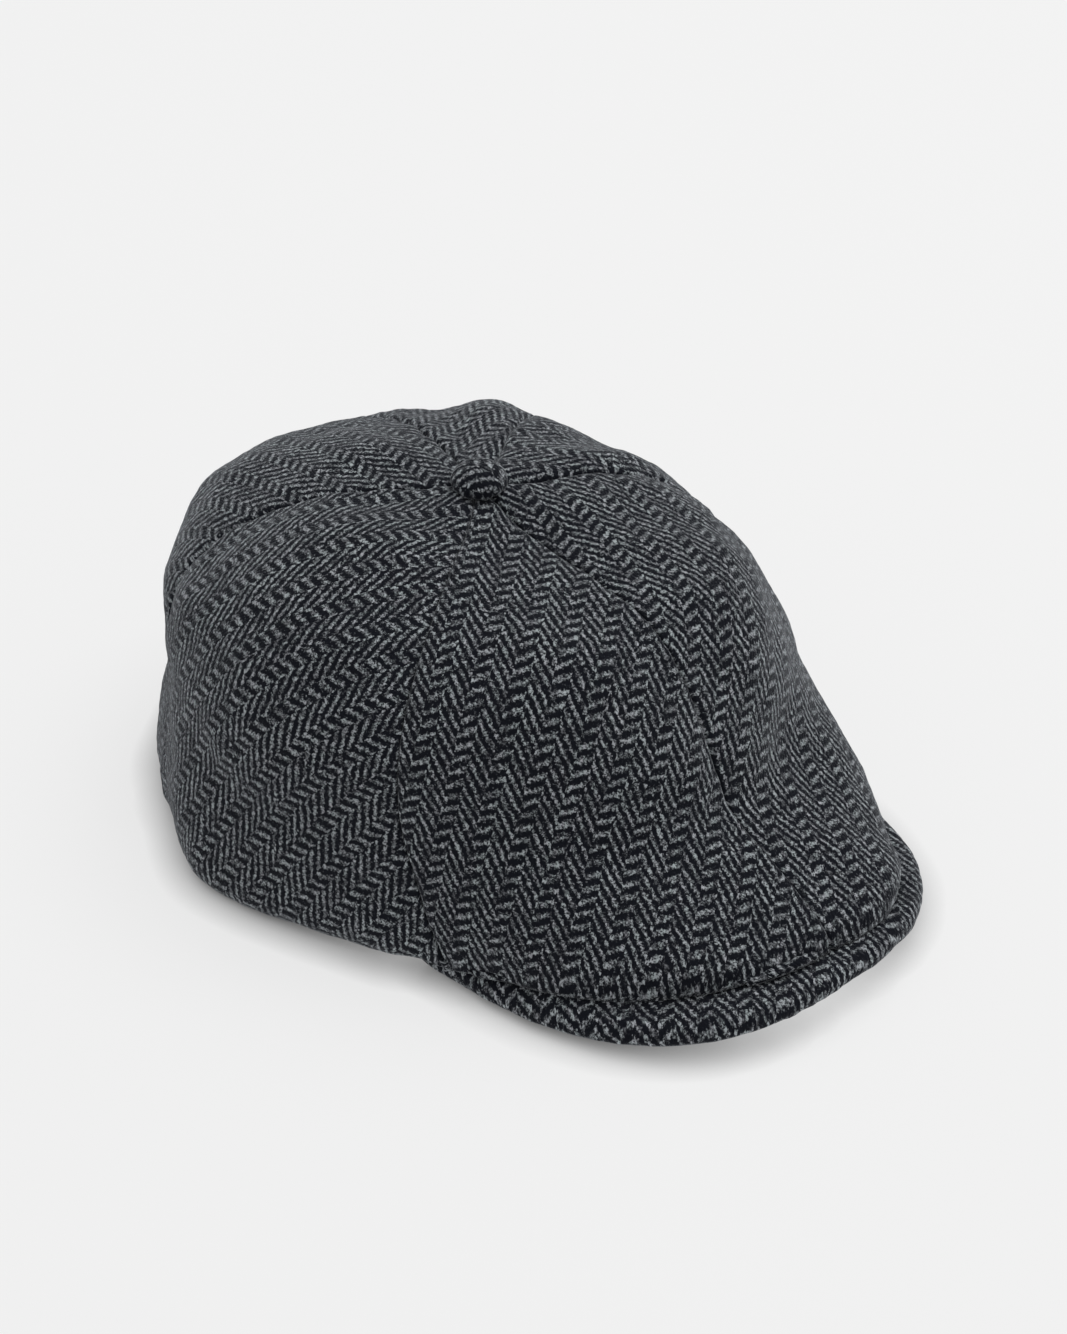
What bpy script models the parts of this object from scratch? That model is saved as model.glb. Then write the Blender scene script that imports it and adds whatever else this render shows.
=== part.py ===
"""Newsboy cap: a six-panel tweed crown that folds forward over a stiff visor and snaps down onto it.

Frame: +Z up, the wearer faces -Y and the wearer's right hand is at -X. The cap rests on z = 0, and the origin
is at the bottom centre of its bounding box. Lengths are in metres.
"""

import math

import bmesh
import bpy
from mathutils import Vector

MM = 0.001

# The head centre is the middle of the oval that the head goes into. It lies behind the origin, because the
# visor sticks out in front.
HEAD_CENTRE_Y = 35.5 * MM

# Cloth
TWEED = 1.8 * MM
LINING = 0.6 * MM
SEAM_GAP = 1.0 * MM
UNDER_GAP = 2.4 * MM
CLEARANCE = 0.3 * MM

# Crown
PANELS = 6
PANEL_COLUMNS = 6
ROWS_PER_STATION = 2
CROWN_PUFF = 3.2 * MM
LINING_PUFF = 1.5 * MM
PUFF_CENTRE = Vector((0.0, 0.0, 45 * MM))

# Each crown station is one ring around the cap, from the hole under the button down to the turned hem. It is
# held by three points: how far the ring reaches in front of the head centre and its height there, its half
# width with how far behind the head centre that widest point lies and its height there, and how far it
# reaches behind the head centre and its height there. All in millimetres.
CROWN_STATIONS = (
    # front          side                 back
    ((11.5, 119.0), (3.5, -8.0, 119.0), (-4.5, 119.0)),
    ((30.0, 111.5), (18.0, -8.0, 117.0), (15.0, 116.5)),
    ((59.0, 109.0), (42.0, -4.0, 114.0), (46.0, 110.5)),
    ((85.0, 104.0), (66.0, 0.0, 103.0), (76.0, 98.5)),
    ((102.0, 88.0), (84.5, 3.0, 86.0), (97.0, 84.0)),
    ((112.5, 69.0), (93.5, 6.0, 68.0), (103.0, 67.0)),
    ((122.0, 51.0), (96.0, 10.0, 50.0), (99.0, 48.0)),
    ((140.0, 41.0), (98.0, 14.0, 33.0), (98.5, 32.0)),
    ((155.5, 32.0), (99.5, 17.0, 17.0), (101.5, 17.0)),
    ((164.5, 26.0), (98.5, 18.0, 7.5), (102.0, 8.0)),
    ((160.5, 22.2), (96.0, 16.0, 1.8), (100.0, 1.8)),
    ((112.0, 22.2), (93.6, 10.0, 0.8), (98.4, 0.8)),
    ((107.0, 29.0), (92.6, 6.0, 8.0), (97.0, 8.0)),
)
CROWN_FOLD_STATION = 9
CROWN_PUFF_END = 10.5
SEAM_ANGLES_TOP = (0, 60, 120, 180, 240, 300, 360)
SEAM_ANGLES_RIM = (0, 58, 108, 180, 252, 302, 360)

# The lining follows the crown's inside from under the button down to the rim, but not into the front fold.
LINING_STATIONS = (
    ((11.5, 113.0), (3.5, -8.0, 113.0), (-4.5, 113.0)),
    ((30.0, 108.0), (20.0, -8.0, 111.0), (14.0, 111.0)),
    ((56.0, 105.0), (42.5, -5.0, 107.5), (42.0, 106.0)),
    ((80.0, 98.5), (65.0, -2.0, 98.0), (70.5, 95.0)),
    ((96.0, 84.0), (82.0, 2.0, 83.0), (90.5, 81.0)),
    ((106.0, 66.0), (90.0, 5.0, 66.0), (97.0, 65.0)),
    ((110.0, 50.0), (92.2, 6.0, 48.0), (95.8, 48.0)),
    ((106.2, 36.0), (91.8, 6.0, 22.0), (95.8, 22.0)),
    ((105.8, 24.5), (91.8, 6.0, 2.5), (95.8, 2.5)),
)

# Sweatband and label: concentric with the rim, inside the lining
BAND_HALF_WIDTH = 90.3 * MM
BAND_FRONT = 104.4 * MM
BAND_BACK = 94.4 * MM
BAND_SET_BACK = 6 * MM
BAND_THICKNESS = 1.4 * MM
BAND_HEIGHT = 30 * MM
BAND_FRONT_LIFT = 22.4 * MM
BAND_SEGMENTS = PANELS * PANEL_COLUMNS
LABEL_HALF_ANGLE = math.radians(12)
LABEL_BOTTOM = 8 * MM
LABEL_TOP = 22 * MM
LABEL_THICKNESS = 0.5 * MM
LABEL_GAP = 0.5 * MM

# Visor
VISOR_HALF_WIDTH = 80 * MM
VISOR_FRONT = 174.5 * MM
VISOR_CORNER_FRONT = 65 * MM
VISOR_SQUARENESS = 2.5
VISOR_ROOT_HALF_WIDTH = 94 * MM
VISOR_ROOT_FRONT = 109 * MM
VISOR_ROOT_HALF_ANGLE = math.radians(53)
VISOR_TOP = 18.8 * MM
VISOR_ARCH = 12.4 * MM
VISOR_TILT = 1.5 * MM
VISOR_CLOTH = 1.6 * MM
VISOR_BOARD = 1.4 * MM
VISOR_BOARD_INSET = 1.8 * MM
VISOR_EDGE_RADIUS = 2.4 * MM
VISOR_COLUMNS = 15
VISOR_ROWS = 5

# Visor hinge line: across the cap through the two ends of the visor seam
HINGE_FRONT = 63 * MM
HINGE_HEIGHT = 4 * MM

# Covered button on the crown's top. Its heights are measured from the plane where the metal shell stands.
BUTTON_RADIUS = 8 * MM
BUTTON_HEIGHT = 5.3 * MM
BUTTON_CLOTH = 1.2 * MM
BUTTON_CLOTH_TUCK = 2.6 * MM
BUTTON_SHELL = 0.5 * MM
BUTTON_FRONT = 8 * MM
BUTTON_PLANE = 120.6 * MM
BUTTON_PLATE_BOTTOM = 0.4 * MM
BUTTON_PLATE_TOP = 1.0 * MM
BUTTON_SHANK_RADIUS = 1.5 * MM
BUTTON_SHANK_FOOT = -6.0 * MM
WASHER_RADIUS = 6 * MM
WASHER_TOP = -4.9 * MM
WASHER_THICKNESS = 0.8 * MM

# Press stud between the crown's fold and the visor: every flange is a disc of the snap's radius
SNAP_FRONT = 137 * MM
SNAP_RADIUS = 5 * MM
SNAP_FLANGE = 0.7 * MM
SNAP_SOCKET_GAP = 0.4 * MM
SNAP_SOCKET_HEIGHT = 1.2 * MM
SNAP_SOCKET_NECK = 3.2 * MM
SNAP_POST_RADIUS = 1.5 * MM
SNAP_HOLE_RADIUS = 2.0 * MM
SNAP_BALL_RADIUS = 1.8 * MM
SNAP_BALL_HEIGHT = 1.8 * MM
SNAP_BORE_RADIUS = 2.3 * MM
POST_HEAD_RADIUS = 4 * MM
POST_HEAD_THICKNESS = 0.5 * MM
POST_RECESS_RADIUS = 4.4 * MM
POST_RECESS_DEPTH = 0.9 * MM
CUTTER_OVERRUN = 1 * MM
ROUND_STEPS = 20
DOME_POINTS = 6

TWEED_COLOUR = (0.085, 0.09, 0.1, 1.0)
LINING_COLOUR = (0.03, 0.03, 0.035, 1.0)
BAND_COLOUR = (0.02, 0.02, 0.022, 1.0)
LABEL_COLOUR = (0.6, 0.6, 0.58, 1.0)
BOARD_COLOUR = (0.75, 0.75, 0.72, 1.0)
STEEL_COLOUR = (0.6, 0.6, 0.62, 1.0)


def clear_scene():
    for obj in list(bpy.data.objects):
        bpy.data.objects.remove(obj, do_unlink=True)


def new_collection(name):
    collection = bpy.data.collections.new(name)
    bpy.context.scene.collection.children.link(collection)
    return collection


def give_material(obj, colour, roughness, metallic=0.0):
    material = bpy.data.materials.new(obj.name)
    material.use_nodes = True
    shader = material.node_tree.nodes["Principled BSDF"]
    shader.inputs["Base Color"].default_value = colour
    shader.inputs["Roughness"].default_value = roughness
    shader.inputs["Metallic"].default_value = metallic
    obj.data.materials.append(material)


def add_solidify(obj, thickness, even=True):
    """Thicken an open surface towards its back, so that the surface stays the outer face."""
    solidify = obj.modifiers.new("Solidify", "SOLIDIFY")
    solidify.thickness = thickness
    solidify.offset = -1.0
    solidify.use_even_offset = even


def add_cut(obj, cutter):
    cut = obj.modifiers.new("Cut", "BOOLEAN")
    cut.operation = "DIFFERENCE"
    cut.object = cutter


# ---------------------------------------------------------------- sheets


def sheet(name, columns, rows, point, up, collection):
    """A grid laid where point(u, v) says for u and v from 0 to 1, facing the way that up(place) points."""
    mesh = bpy.data.meshes.new(name)
    bm = bmesh.new()
    bmesh.ops.create_grid(bm, x_segments=columns, y_segments=rows, size=0.5)
    for vertex in bm.verts:
        vertex.co = point(vertex.co.x + 0.5, vertex.co.y + 0.5)
    bmesh.ops.remove_doubles(bm, verts=bm.verts, dist=0.01 * MM)
    bm.normal_update()
    facing = sum(face.normal.dot(up(face.calc_center_median())) * face.calc_area() for face in bm.faces)
    if facing < 0:
        bmesh.ops.reverse_faces(bm, faces=bm.faces)
    bm.to_mesh(mesh)
    bm.free()
    mesh.shade_smooth()
    mesh.set_sharp_from_angle(angle=math.radians(40))
    obj = bpy.data.objects.new(name, mesh)
    collection.objects.link(obj)
    return obj


def catmull_rom(before, start, end, after, t):
    """The curve from start to end that leaves each of them along the line between its neighbours."""
    return 0.5 * (
        2 * start
        + (end - before) * t
        + (2 * before - 5 * start + 4 * end - after) * t**2
        + (3 * start - 3 * end + after - before) * t**3
    )


def ring_point(station, angle):
    """The point of one station's ring at an angle from the front, turning towards the wearer's right."""
    (front, front_z), (side, set_back, side_z), (back, back_z) = station
    ahead = math.cos(angle)
    if ahead > 0:
        reach = front + set_back
        height = side_z + (front_z - side_z) * ahead**1.6
    else:
        reach = back - set_back
        height = side_z + (back_z - side_z) * ahead**2
    return Vector((-side * math.sin(angle), set_back - reach * ahead, height)) * MM


def station_point(stations, angle, place):
    """The point at an angle from the front, place stations down from the top."""
    last = len(stations) - 1
    index = min(int(place), last - 1)
    rings = [stations[min(max(index + step, 0), last)] for step in (-1, 0, 1, 2)]
    return catmull_rom(*(ring_point(ring, angle) for ring in rings), place - index)


def seam_angle(seam, down):
    """Angle of a seam from the front, at a share of the way down from the button to the rim."""
    lean = 3 * down**2 - 2 * down**3
    return math.radians(SEAM_ANGLES_TOP[seam] + (SEAM_ANGLES_RIM[seam] - SEAM_ANGLES_TOP[seam]) * lean)


def seam_inset(stations, angle, place):
    """The angle that a panel stops short of its seam line, so that neighbours stay a seam gap apart."""
    step = 0.01
    place = min(max(place, step), len(stations) - 1 - step)
    along = station_point(stations, angle, place + step) - station_point(stations, angle, place - step)
    around = station_point(stations, angle + step, place) - station_point(stations, angle - step, place)
    travel = around.cross(along).length / along.length / (2 * step)
    turned_under = min(max(place - CROWN_FOLD_STATION, 0), 1)
    gap = SEAM_GAP + (UNDER_GAP - SEAM_GAP) * turned_under
    return gap / 2 / travel


def panel_point(stations, puff, puff_end, panel, u, v):
    """A point of one wedge panel: u runs across it from seam to seam, and v from its hem up to the button."""
    place = (1 - v) * (len(stations) - 1)
    down = 1 - v
    first = seam_angle(panel, down)
    last = seam_angle(panel + 1, down)
    start = first + seam_inset(stations, first, place)
    end = last - seam_inset(stations, last, place)
    point = station_point(stations, start + u * (end - start), place)
    if place < puff_end:
        bulge = puff * math.sin(math.pi * place / puff_end) ** 0.7 * math.sin(math.pi * u)
        point += (point - PUFF_CENTRE).normalized() * bulge
    return point + Vector((0, HEAD_CENTRE_Y, 0))


def away_from_head(place):
    return place - PUFF_CENTRE - Vector((0, HEAD_CENTRE_Y, 0))


def panel_names():
    """Where each panel lies, in order of its angle from the front, turning towards the wearer's right."""
    return ("front_right", "side_right", "back_right", "back_left", "side_left", "front_left")


def make_crown_panels(collection):
    panels = {}
    rows = ROWS_PER_STATION * (len(CROWN_STATIONS) - 1)
    for panel, place in enumerate(panel_names()):

        def point(u, v, panel=panel):
            return panel_point(CROWN_STATIONS, CROWN_PUFF, CROWN_PUFF_END, panel, u, v)

        obj = sheet("crown_panel_" + place, PANEL_COLUMNS, rows, point, away_from_head, collection)
        add_solidify(obj, TWEED, even=False)
        give_material(obj, TWEED_COLOUR, 0.95)
        panels[place] = obj
    return panels


def make_lining_panels(collection):
    rows = ROWS_PER_STATION * (len(LINING_STATIONS) - 1)
    for panel, place in enumerate(panel_names()):

        def point(u, v, panel=panel):
            return panel_point(LINING_STATIONS, LINING_PUFF, len(LINING_STATIONS) - 2, panel, u, v)

        obj = sheet("lining_panel_" + place, PANEL_COLUMNS, rows, point, away_from_head, collection)
        add_solidify(obj, LINING)
        give_material(obj, LINING_COLOUR, 0.5)


# ---------------------------------------------------------------- band


def band_point(angle, inwards, height):
    """A point at a height above the rim's lower edge, on the sweatband's outer oval moved inwards."""
    ahead = math.cos(angle)
    reach = (BAND_FRONT + BAND_SET_BACK if ahead > 0 else BAND_BACK - BAND_SET_BACK) - inwards
    lift = BAND_FRONT_LIFT * max(ahead, 0) ** 1.6
    x = -(BAND_HALF_WIDTH - inwards) * math.sin(angle)
    return Vector((x, HEAD_CENTRE_Y + BAND_SET_BACK - reach * ahead, lift + height))


def make_sweatband(collection):
    def point(u, v):
        return band_point(2 * math.pi * u, 0, BAND_HEIGHT * v)

    band = sheet("sweatband", BAND_SEGMENTS, 2, point, away_from_head, collection)
    add_solidify(band, BAND_THICKNESS)
    give_material(band, BAND_COLOUR, 0.8)


def make_label(collection):
    def point(u, v):
        angle = math.pi + LABEL_HALF_ANGLE * (2 * u - 1)
        height = LABEL_BOTTOM + (LABEL_TOP - LABEL_BOTTOM) * v
        return band_point(angle, BAND_THICKNESS + LABEL_GAP, height)

    label = sheet("size_label", 4, 1, point, away_from_head, collection)
    add_solidify(label, LABEL_THICKNESS)
    give_material(label, LABEL_COLOUR, 0.7)


# ---------------------------------------------------------------- visor


def visor_root(u):
    """The visor's sewn edge in plan, from the wearer's right corner to the left one."""
    angle = VISOR_ROOT_HALF_ANGLE * (1 - 2 * u)
    reach = VISOR_ROOT_FRONT + BAND_SET_BACK
    return Vector((-VISOR_ROOT_HALF_WIDTH * math.sin(angle), BAND_SET_BACK - reach * math.cos(angle), 0))


def visor_edge(u, inset):
    """The visor's free edge in plan, moved inwards."""
    angle = math.pi / 2 * (1 - 2 * u)
    power = 2 / VISOR_SQUARENESS
    across = math.copysign(abs(math.sin(angle)) ** power, angle)
    ahead = abs(math.cos(angle)) ** power
    reach = VISOR_FRONT - VISOR_CORNER_FRONT - inset
    return Vector((-(VISOR_HALF_WIDTH - inset) * across, -VISOR_CORNER_FRONT - reach * ahead, 0))


def visor_height(x, y):
    """Height of the visor's upper face: arched from side to side and sloping a little towards the front."""
    slope = (-y - VISOR_ROOT_FRONT) / (VISOR_FRONT - VISOR_ROOT_FRONT)
    return VISOR_TOP - VISOR_ARCH * (x / VISOR_HALF_WIDTH) ** 2 - VISOR_TILT * slope


def visor_point(u, v, root_inset, edge_inset, drop):
    """A point of a visor layer: v runs from the sewn edge to the free edge."""
    root = visor_root(u)
    edge = visor_edge(u, edge_inset)
    start = root_inset / (edge - root).length
    plan = root.lerp(edge, start + v * (1 - start))
    height = visor_height(plan.x, plan.y) - drop
    return Vector((plan.x, plan.y + HEAD_CENTRE_Y, height))


def upwards(_place):
    return Vector((0, 0, 1))


def visor_thickness():
    return 2 * VISOR_CLOTH + VISOR_BOARD + 2 * CLEARANCE


def make_visor_top_cover(collection):
    """The upper cloth, whose free edge rolls down around the board."""
    lip = [math.radians(angle) for angle in (0, 45, 90)]
    rows = VISOR_ROWS + len(lip)

    def point(u, v):
        row = round(v * rows)
        if row <= VISOR_ROWS:
            return visor_point(u, row / VISOR_ROWS, 0, VISOR_EDGE_RADIUS, 0)
        if row == rows:
            return visor_point(u, 1, 0, 0, visor_thickness())
        angle = lip[row - VISOR_ROWS]
        inset = VISOR_EDGE_RADIUS * (1 - math.sin(angle))
        return visor_point(u, 1, 0, inset, VISOR_EDGE_RADIUS * (1 - math.cos(angle)))

    cover = sheet("visor_top_cover", VISOR_COLUMNS, rows, point, upwards, collection)
    add_solidify(cover, VISOR_CLOTH)
    give_material(cover, TWEED_COLOUR, 0.95)
    return cover


def make_visor_layer(name, drop, inset, thickness, colour, roughness, collection):
    def point(u, v):
        return visor_point(u, v, 0, inset, drop)

    layer = sheet(name, VISOR_COLUMNS, VISOR_ROWS, point, upwards, collection)
    add_solidify(layer, thickness)
    give_material(layer, colour, roughness)
    return layer


# ---------------------------------------------------------------- turned pieces


def turned(name, profile, collection):
    """A piece turned from a closed outline of (radius, height) points that runs down its outer side."""
    mesh = bpy.data.meshes.new(name)
    bm = bmesh.new()
    corners = [bm.verts.new((radius, 0, height)) for radius, height in profile]
    on_axis = profile[0][0] == 0 and profile[-1][0] == 0
    pairs = zip(corners, corners[1:] if on_axis else corners[1:] + corners[:1])
    for start, end in pairs:
        bm.edges.new((start, end))
    bm.to_mesh(mesh)
    bm.free()
    obj = bpy.data.objects.new(name, mesh)
    collection.objects.link(obj)
    screw = obj.modifiers.new("Screw", "SCREW")
    screw.axis = "Z"
    screw.steps = ROUND_STEPS
    screw.render_steps = ROUND_STEPS
    screw.use_merge_vertices = True
    screw.merge_threshold = 0.01 * MM
    screw.use_smooth_shade = True
    return obj


def dome(radius, height, start, end, count):
    """Points on a quarter ellipse, from the angle start to the angle end above its base."""
    angles = [start + (end - start) * index / (count - 1) for index in range(count)]
    return [(radius * math.cos(angle), height * math.sin(angle)) for angle in angles]


def dome_shell(radius, height, thickness):
    """Outline of a domed shell with an open underside: over its outside, then back up its inside."""
    outer = dome(radius, height, math.pi / 2, 0, DOME_POINTS)
    inner = dome(radius - thickness, height - thickness, 0, math.pi / 2, DOME_POINTS)
    outer[0] = (0.0, height)
    inner[-1] = (0.0, height - thickness)
    return outer, inner


def make_button_cover(collection):
    """Cloth over the shell, with its edge tucked in underneath."""
    outer, inner = dome_shell(BUTTON_RADIUS, BUTTON_HEIGHT, BUTTON_CLOTH)
    tuck_edge = BUTTON_RADIUS - BUTTON_CLOTH_TUCK
    rounding = 0.3 * BUTTON_CLOTH
    tuck = [(BUTTON_RADIUS - rounding, -BUTTON_CLOTH), (tuck_edge, -BUTTON_CLOTH), (tuck_edge, 0.0)]
    cover = turned("button_cover", outer + tuck + inner, collection)
    give_material(cover, TWEED_COLOUR, 0.95)
    return cover


def make_button_shell(collection):
    """The metal dome that gives the button its shape."""
    radius = BUTTON_RADIUS - BUTTON_CLOTH - CLEARANCE
    height = BUTTON_HEIGHT - BUTTON_CLOTH - 2 * CLEARANCE
    outer, inner = dome_shell(radius, height, BUTTON_SHELL)
    profile = [(point_radius, point_height + CLEARANCE) for point_radius, point_height in outer + inner]
    shell = turned("button_shell", profile, collection)
    give_material(shell, STEEL_COLOUR, 0.35, 1.0)
    return shell


def make_button_back_plate(collection):
    """The disc that closes the shell, with the shank that passes down through the crown's top."""
    plate_radius = BUTTON_RADIUS - BUTTON_CLOTH - BUTTON_SHELL - 2 * CLEARANCE
    profile = [
        (0.0, BUTTON_PLATE_TOP),
        (plate_radius, BUTTON_PLATE_TOP),
        (plate_radius, BUTTON_PLATE_BOTTOM),
        (BUTTON_SHANK_RADIUS, BUTTON_PLATE_BOTTOM),
        (BUTTON_SHANK_RADIUS, BUTTON_SHANK_FOOT),
        (0.0, BUTTON_SHANK_FOOT),
    ]
    plate = turned("button_back_plate", profile, collection)
    give_material(plate, STEEL_COLOUR, 0.4, 1.0)
    return plate


def make_button_washer(collection):
    """The ring that holds the shank from inside the crown."""
    hole = BUTTON_SHANK_RADIUS + CLEARANCE
    bottom = WASHER_TOP - WASHER_THICKNESS
    profile = [(WASHER_RADIUS, WASHER_TOP), (WASHER_RADIUS, bottom), (hole, bottom), (hole, WASHER_TOP)]
    washer = turned("button_washer", profile, collection)
    give_material(washer, STEEL_COLOUR, 0.4, 1.0)
    return washer


def make_button(collection):
    """Cloth cover over a metal shell, closed by a back plate whose shank passes through the crown's top."""
    for make in (make_button_cover, make_button_shell, make_button_back_plate, make_button_washer):
        make(collection).location = (0, HEAD_CENTRE_Y - BUTTON_FRONT, BUTTON_PLANE)


def cylinder_cutter(name, radius, bottom, top, collection):
    """An upright cylinder on the press stud's axis, running past both faces that it cuts."""
    mesh = bpy.data.meshes.new(name)
    bm = bmesh.new()
    depth = top - bottom + 2 * CUTTER_OVERRUN
    bmesh.ops.create_cone(
        bm, cap_ends=True, segments=ROUND_STEPS, radius1=radius, radius2=radius, depth=depth
    )
    bm.to_mesh(mesh)
    bm.free()
    cutter = bpy.data.objects.new(name, mesh)
    cutter.location = (0, HEAD_CENTRE_Y - SNAP_FRONT, (top + bottom) / 2)
    cutter.hide_render = True
    cutter.display_type = "WIRE"
    collection.objects.link(cutter)
    return cutter


def crown_underside():
    """Height of the folded crown's lower face above the press stud."""
    return station_point(CROWN_STATIONS, 0, CROWN_FOLD_STATION + 1.5).z


def make_snap_socket(collection):
    """The ring under the crown's fold that the stud's ball goes into."""
    top = crown_underside() - SNAP_SOCKET_GAP
    bottom = top - SNAP_SOCKET_HEIGHT
    profile = [
        (SNAP_RADIUS, top),
        (SNAP_RADIUS, (top + bottom) / 2),
        (SNAP_SOCKET_NECK, bottom),
        (SNAP_BORE_RADIUS, bottom),
        (SNAP_BORE_RADIUS, top),
    ]
    return turned("snap_socket", profile, collection)


def make_snap_socket_cap(collection):
    """The disc on the other side of the fold's cloth, with the rivet that joins it to the socket."""
    fold = crown_underside()
    disc_bottom = fold + TWEED + SNAP_SOCKET_GAP + CLEARANCE
    rivet_foot = fold - SNAP_SOCKET_GAP - CLEARANCE
    profile = [
        (0.0, disc_bottom + SNAP_FLANGE),
        (SNAP_RADIUS, disc_bottom + SNAP_FLANGE),
        (SNAP_RADIUS, disc_bottom),
        (SNAP_POST_RADIUS, disc_bottom),
        (SNAP_POST_RADIUS, rivet_foot),
        (0.0, rivet_foot),
    ]
    return turned("snap_socket_cap", profile, collection)


def make_snap_stud(visor_top, collection):
    """The flange and ball that stand on the visor."""
    flange_bottom = visor_top + CLEARANCE
    ball_top = visor_top + SNAP_BALL_HEIGHT
    profile = [
        (0.0, ball_top),
        (0.67 * SNAP_BALL_RADIUS, ball_top - 0.06 * SNAP_BALL_HEIGHT),
        (SNAP_BALL_RADIUS, ball_top - 0.28 * SNAP_BALL_HEIGHT),
        (0.78 * SNAP_BALL_RADIUS, ball_top - 0.5 * SNAP_BALL_HEIGHT),
        (SNAP_RADIUS, flange_bottom + 0.6 * SNAP_FLANGE),
        (SNAP_RADIUS, flange_bottom),
        (0.0, flange_bottom),
    ]
    return turned("snap_stud", profile, collection)


def make_snap_stud_post(visor_top, board_bottom, collection):
    """The rivet that holds the stud from under the board, with its head sunk into the board."""
    head_top = board_bottom + POST_RECESS_DEPTH - CLEARANCE
    head_bottom = head_top - POST_HEAD_THICKNESS
    profile = [
        (0.0, visor_top),
        (SNAP_POST_RADIUS, visor_top),
        (SNAP_POST_RADIUS, head_top),
        (POST_HEAD_RADIUS, head_top),
        (POST_HEAD_RADIUS, head_bottom),
        (0.0, head_bottom),
    ]
    return turned("snap_stud_post", profile, collection)


def make_snap(panels, cover, board, collection, cutters):
    """Press stud: the socket hangs under the crown's fold and the stud stands on the visor."""
    fold = crown_underside()
    visor_top = visor_height(0, -SNAP_FRONT)
    board_top = visor_top - VISOR_CLOTH - CLEARANCE
    board_bottom = board_top - VISOR_BOARD
    socket = make_snap_socket(collection)
    cap = make_snap_socket_cap(collection)
    stud = make_snap_stud(visor_top, collection)
    post = make_snap_stud_post(visor_top, board_bottom, collection)
    for piece in (socket, cap, stud, post):
        piece.location = (0, HEAD_CENTRE_Y - SNAP_FRONT, 0)
        give_material(piece, STEEL_COLOUR, 0.3, 1.0)

    fold_hole = cylinder_cutter("fold_hole_cutter", SNAP_HOLE_RADIUS, fold, fold + TWEED, cutters)
    add_cut(panels["front_right"], fold_hole)
    add_cut(panels["front_left"], fold_hole)
    visor_hole = cylinder_cutter("visor_hole_cutter", SNAP_HOLE_RADIUS, board_bottom, visor_top, cutters)
    add_cut(cover, visor_hole)
    add_cut(board, visor_hole)
    # This one stops inside the board, so its top is lowered by the overrun that every cutter has.
    recess_top = board_bottom + POST_RECESS_DEPTH - CUTTER_OVERRUN
    recess = cylinder_cutter("post_recess_cutter", POST_RECESS_RADIUS, board_bottom, recess_top, cutters)
    add_cut(board, recess)
    return stud, post


def parent_to_hinge(pieces, collection):
    """The visor's pieces hang from an empty on the hinge line."""
    hinge = bpy.data.objects.new("visor_hinge", None)
    hinge.location = (0, HEAD_CENTRE_Y - HINGE_FRONT, HINGE_HEIGHT)
    collection.objects.link(hinge)
    bpy.context.view_layer.update()
    for piece in pieces:
        piece.parent = hinge
        piece.matrix_parent_inverse = hinge.matrix_world.inverted()


def main():
    clear_scene()
    cap = new_collection("newsboy_cap")
    cutters = new_collection("cutters")
    cutters.hide_render = True

    panels = make_crown_panels(cap)
    make_lining_panels(cap)
    make_sweatband(cap)
    make_label(cap)
    make_button(cap)

    cover = make_visor_top_cover(cap)
    board_drop = VISOR_CLOTH + CLEARANCE
    board_inset = VISOR_CLOTH + VISOR_BOARD_INSET
    board = make_visor_layer("visor_board", board_drop, board_inset, VISOR_BOARD, BOARD_COLOUR, 0.5, cap)
    under_drop = board_drop + VISOR_BOARD + CLEARANCE
    under_inset = VISOR_CLOTH + 2 * CLEARANCE
    under = make_visor_layer(
        "visor_under_cover", under_drop, under_inset, VISOR_CLOTH, TWEED_COLOUR, 0.95, cap
    )
    stud, post = make_snap(panels, cover, board, cap, cutters)
    parent_to_hinge((cover, board, under, stud, post), cap)


main()
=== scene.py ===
"""Looks of a herringbone tweed newsboy cap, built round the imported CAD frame.

The wearer faces -Y. The cloth shapes are worked out from the head centre and the boxes of the CAD nodes, and
each cloth piece carries a flat map of its own cut, so that the weave runs on it as it does on woven cloth.
"""

import math
from collections import namedtuple

import bpy
import numpy as np
from mathutils import Matrix, Vector


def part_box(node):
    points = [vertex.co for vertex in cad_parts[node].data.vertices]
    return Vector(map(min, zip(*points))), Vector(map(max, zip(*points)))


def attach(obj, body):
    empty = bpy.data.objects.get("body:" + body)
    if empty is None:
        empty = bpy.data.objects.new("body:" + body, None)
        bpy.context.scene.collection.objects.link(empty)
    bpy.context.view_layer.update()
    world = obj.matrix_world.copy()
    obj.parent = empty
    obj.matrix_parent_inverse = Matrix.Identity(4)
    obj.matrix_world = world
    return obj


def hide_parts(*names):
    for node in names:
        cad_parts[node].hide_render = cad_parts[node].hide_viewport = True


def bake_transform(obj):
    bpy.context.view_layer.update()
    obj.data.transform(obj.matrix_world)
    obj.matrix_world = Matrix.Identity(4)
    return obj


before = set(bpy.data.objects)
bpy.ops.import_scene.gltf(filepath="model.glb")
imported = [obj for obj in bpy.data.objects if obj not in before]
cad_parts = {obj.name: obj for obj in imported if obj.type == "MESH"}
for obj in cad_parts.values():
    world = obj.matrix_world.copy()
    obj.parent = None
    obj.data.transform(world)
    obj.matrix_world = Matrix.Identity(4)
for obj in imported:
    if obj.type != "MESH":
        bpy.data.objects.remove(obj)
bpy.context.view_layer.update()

MM = 0.001

# ---------- places taken from the frame

BAND_LOW, BAND_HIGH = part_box("sweatband")
BAND_HALF_WIDTH = (BAND_HIGH.x - BAND_LOW.x) / 2
BAND_SET_BACK = 6 * MM
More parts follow.
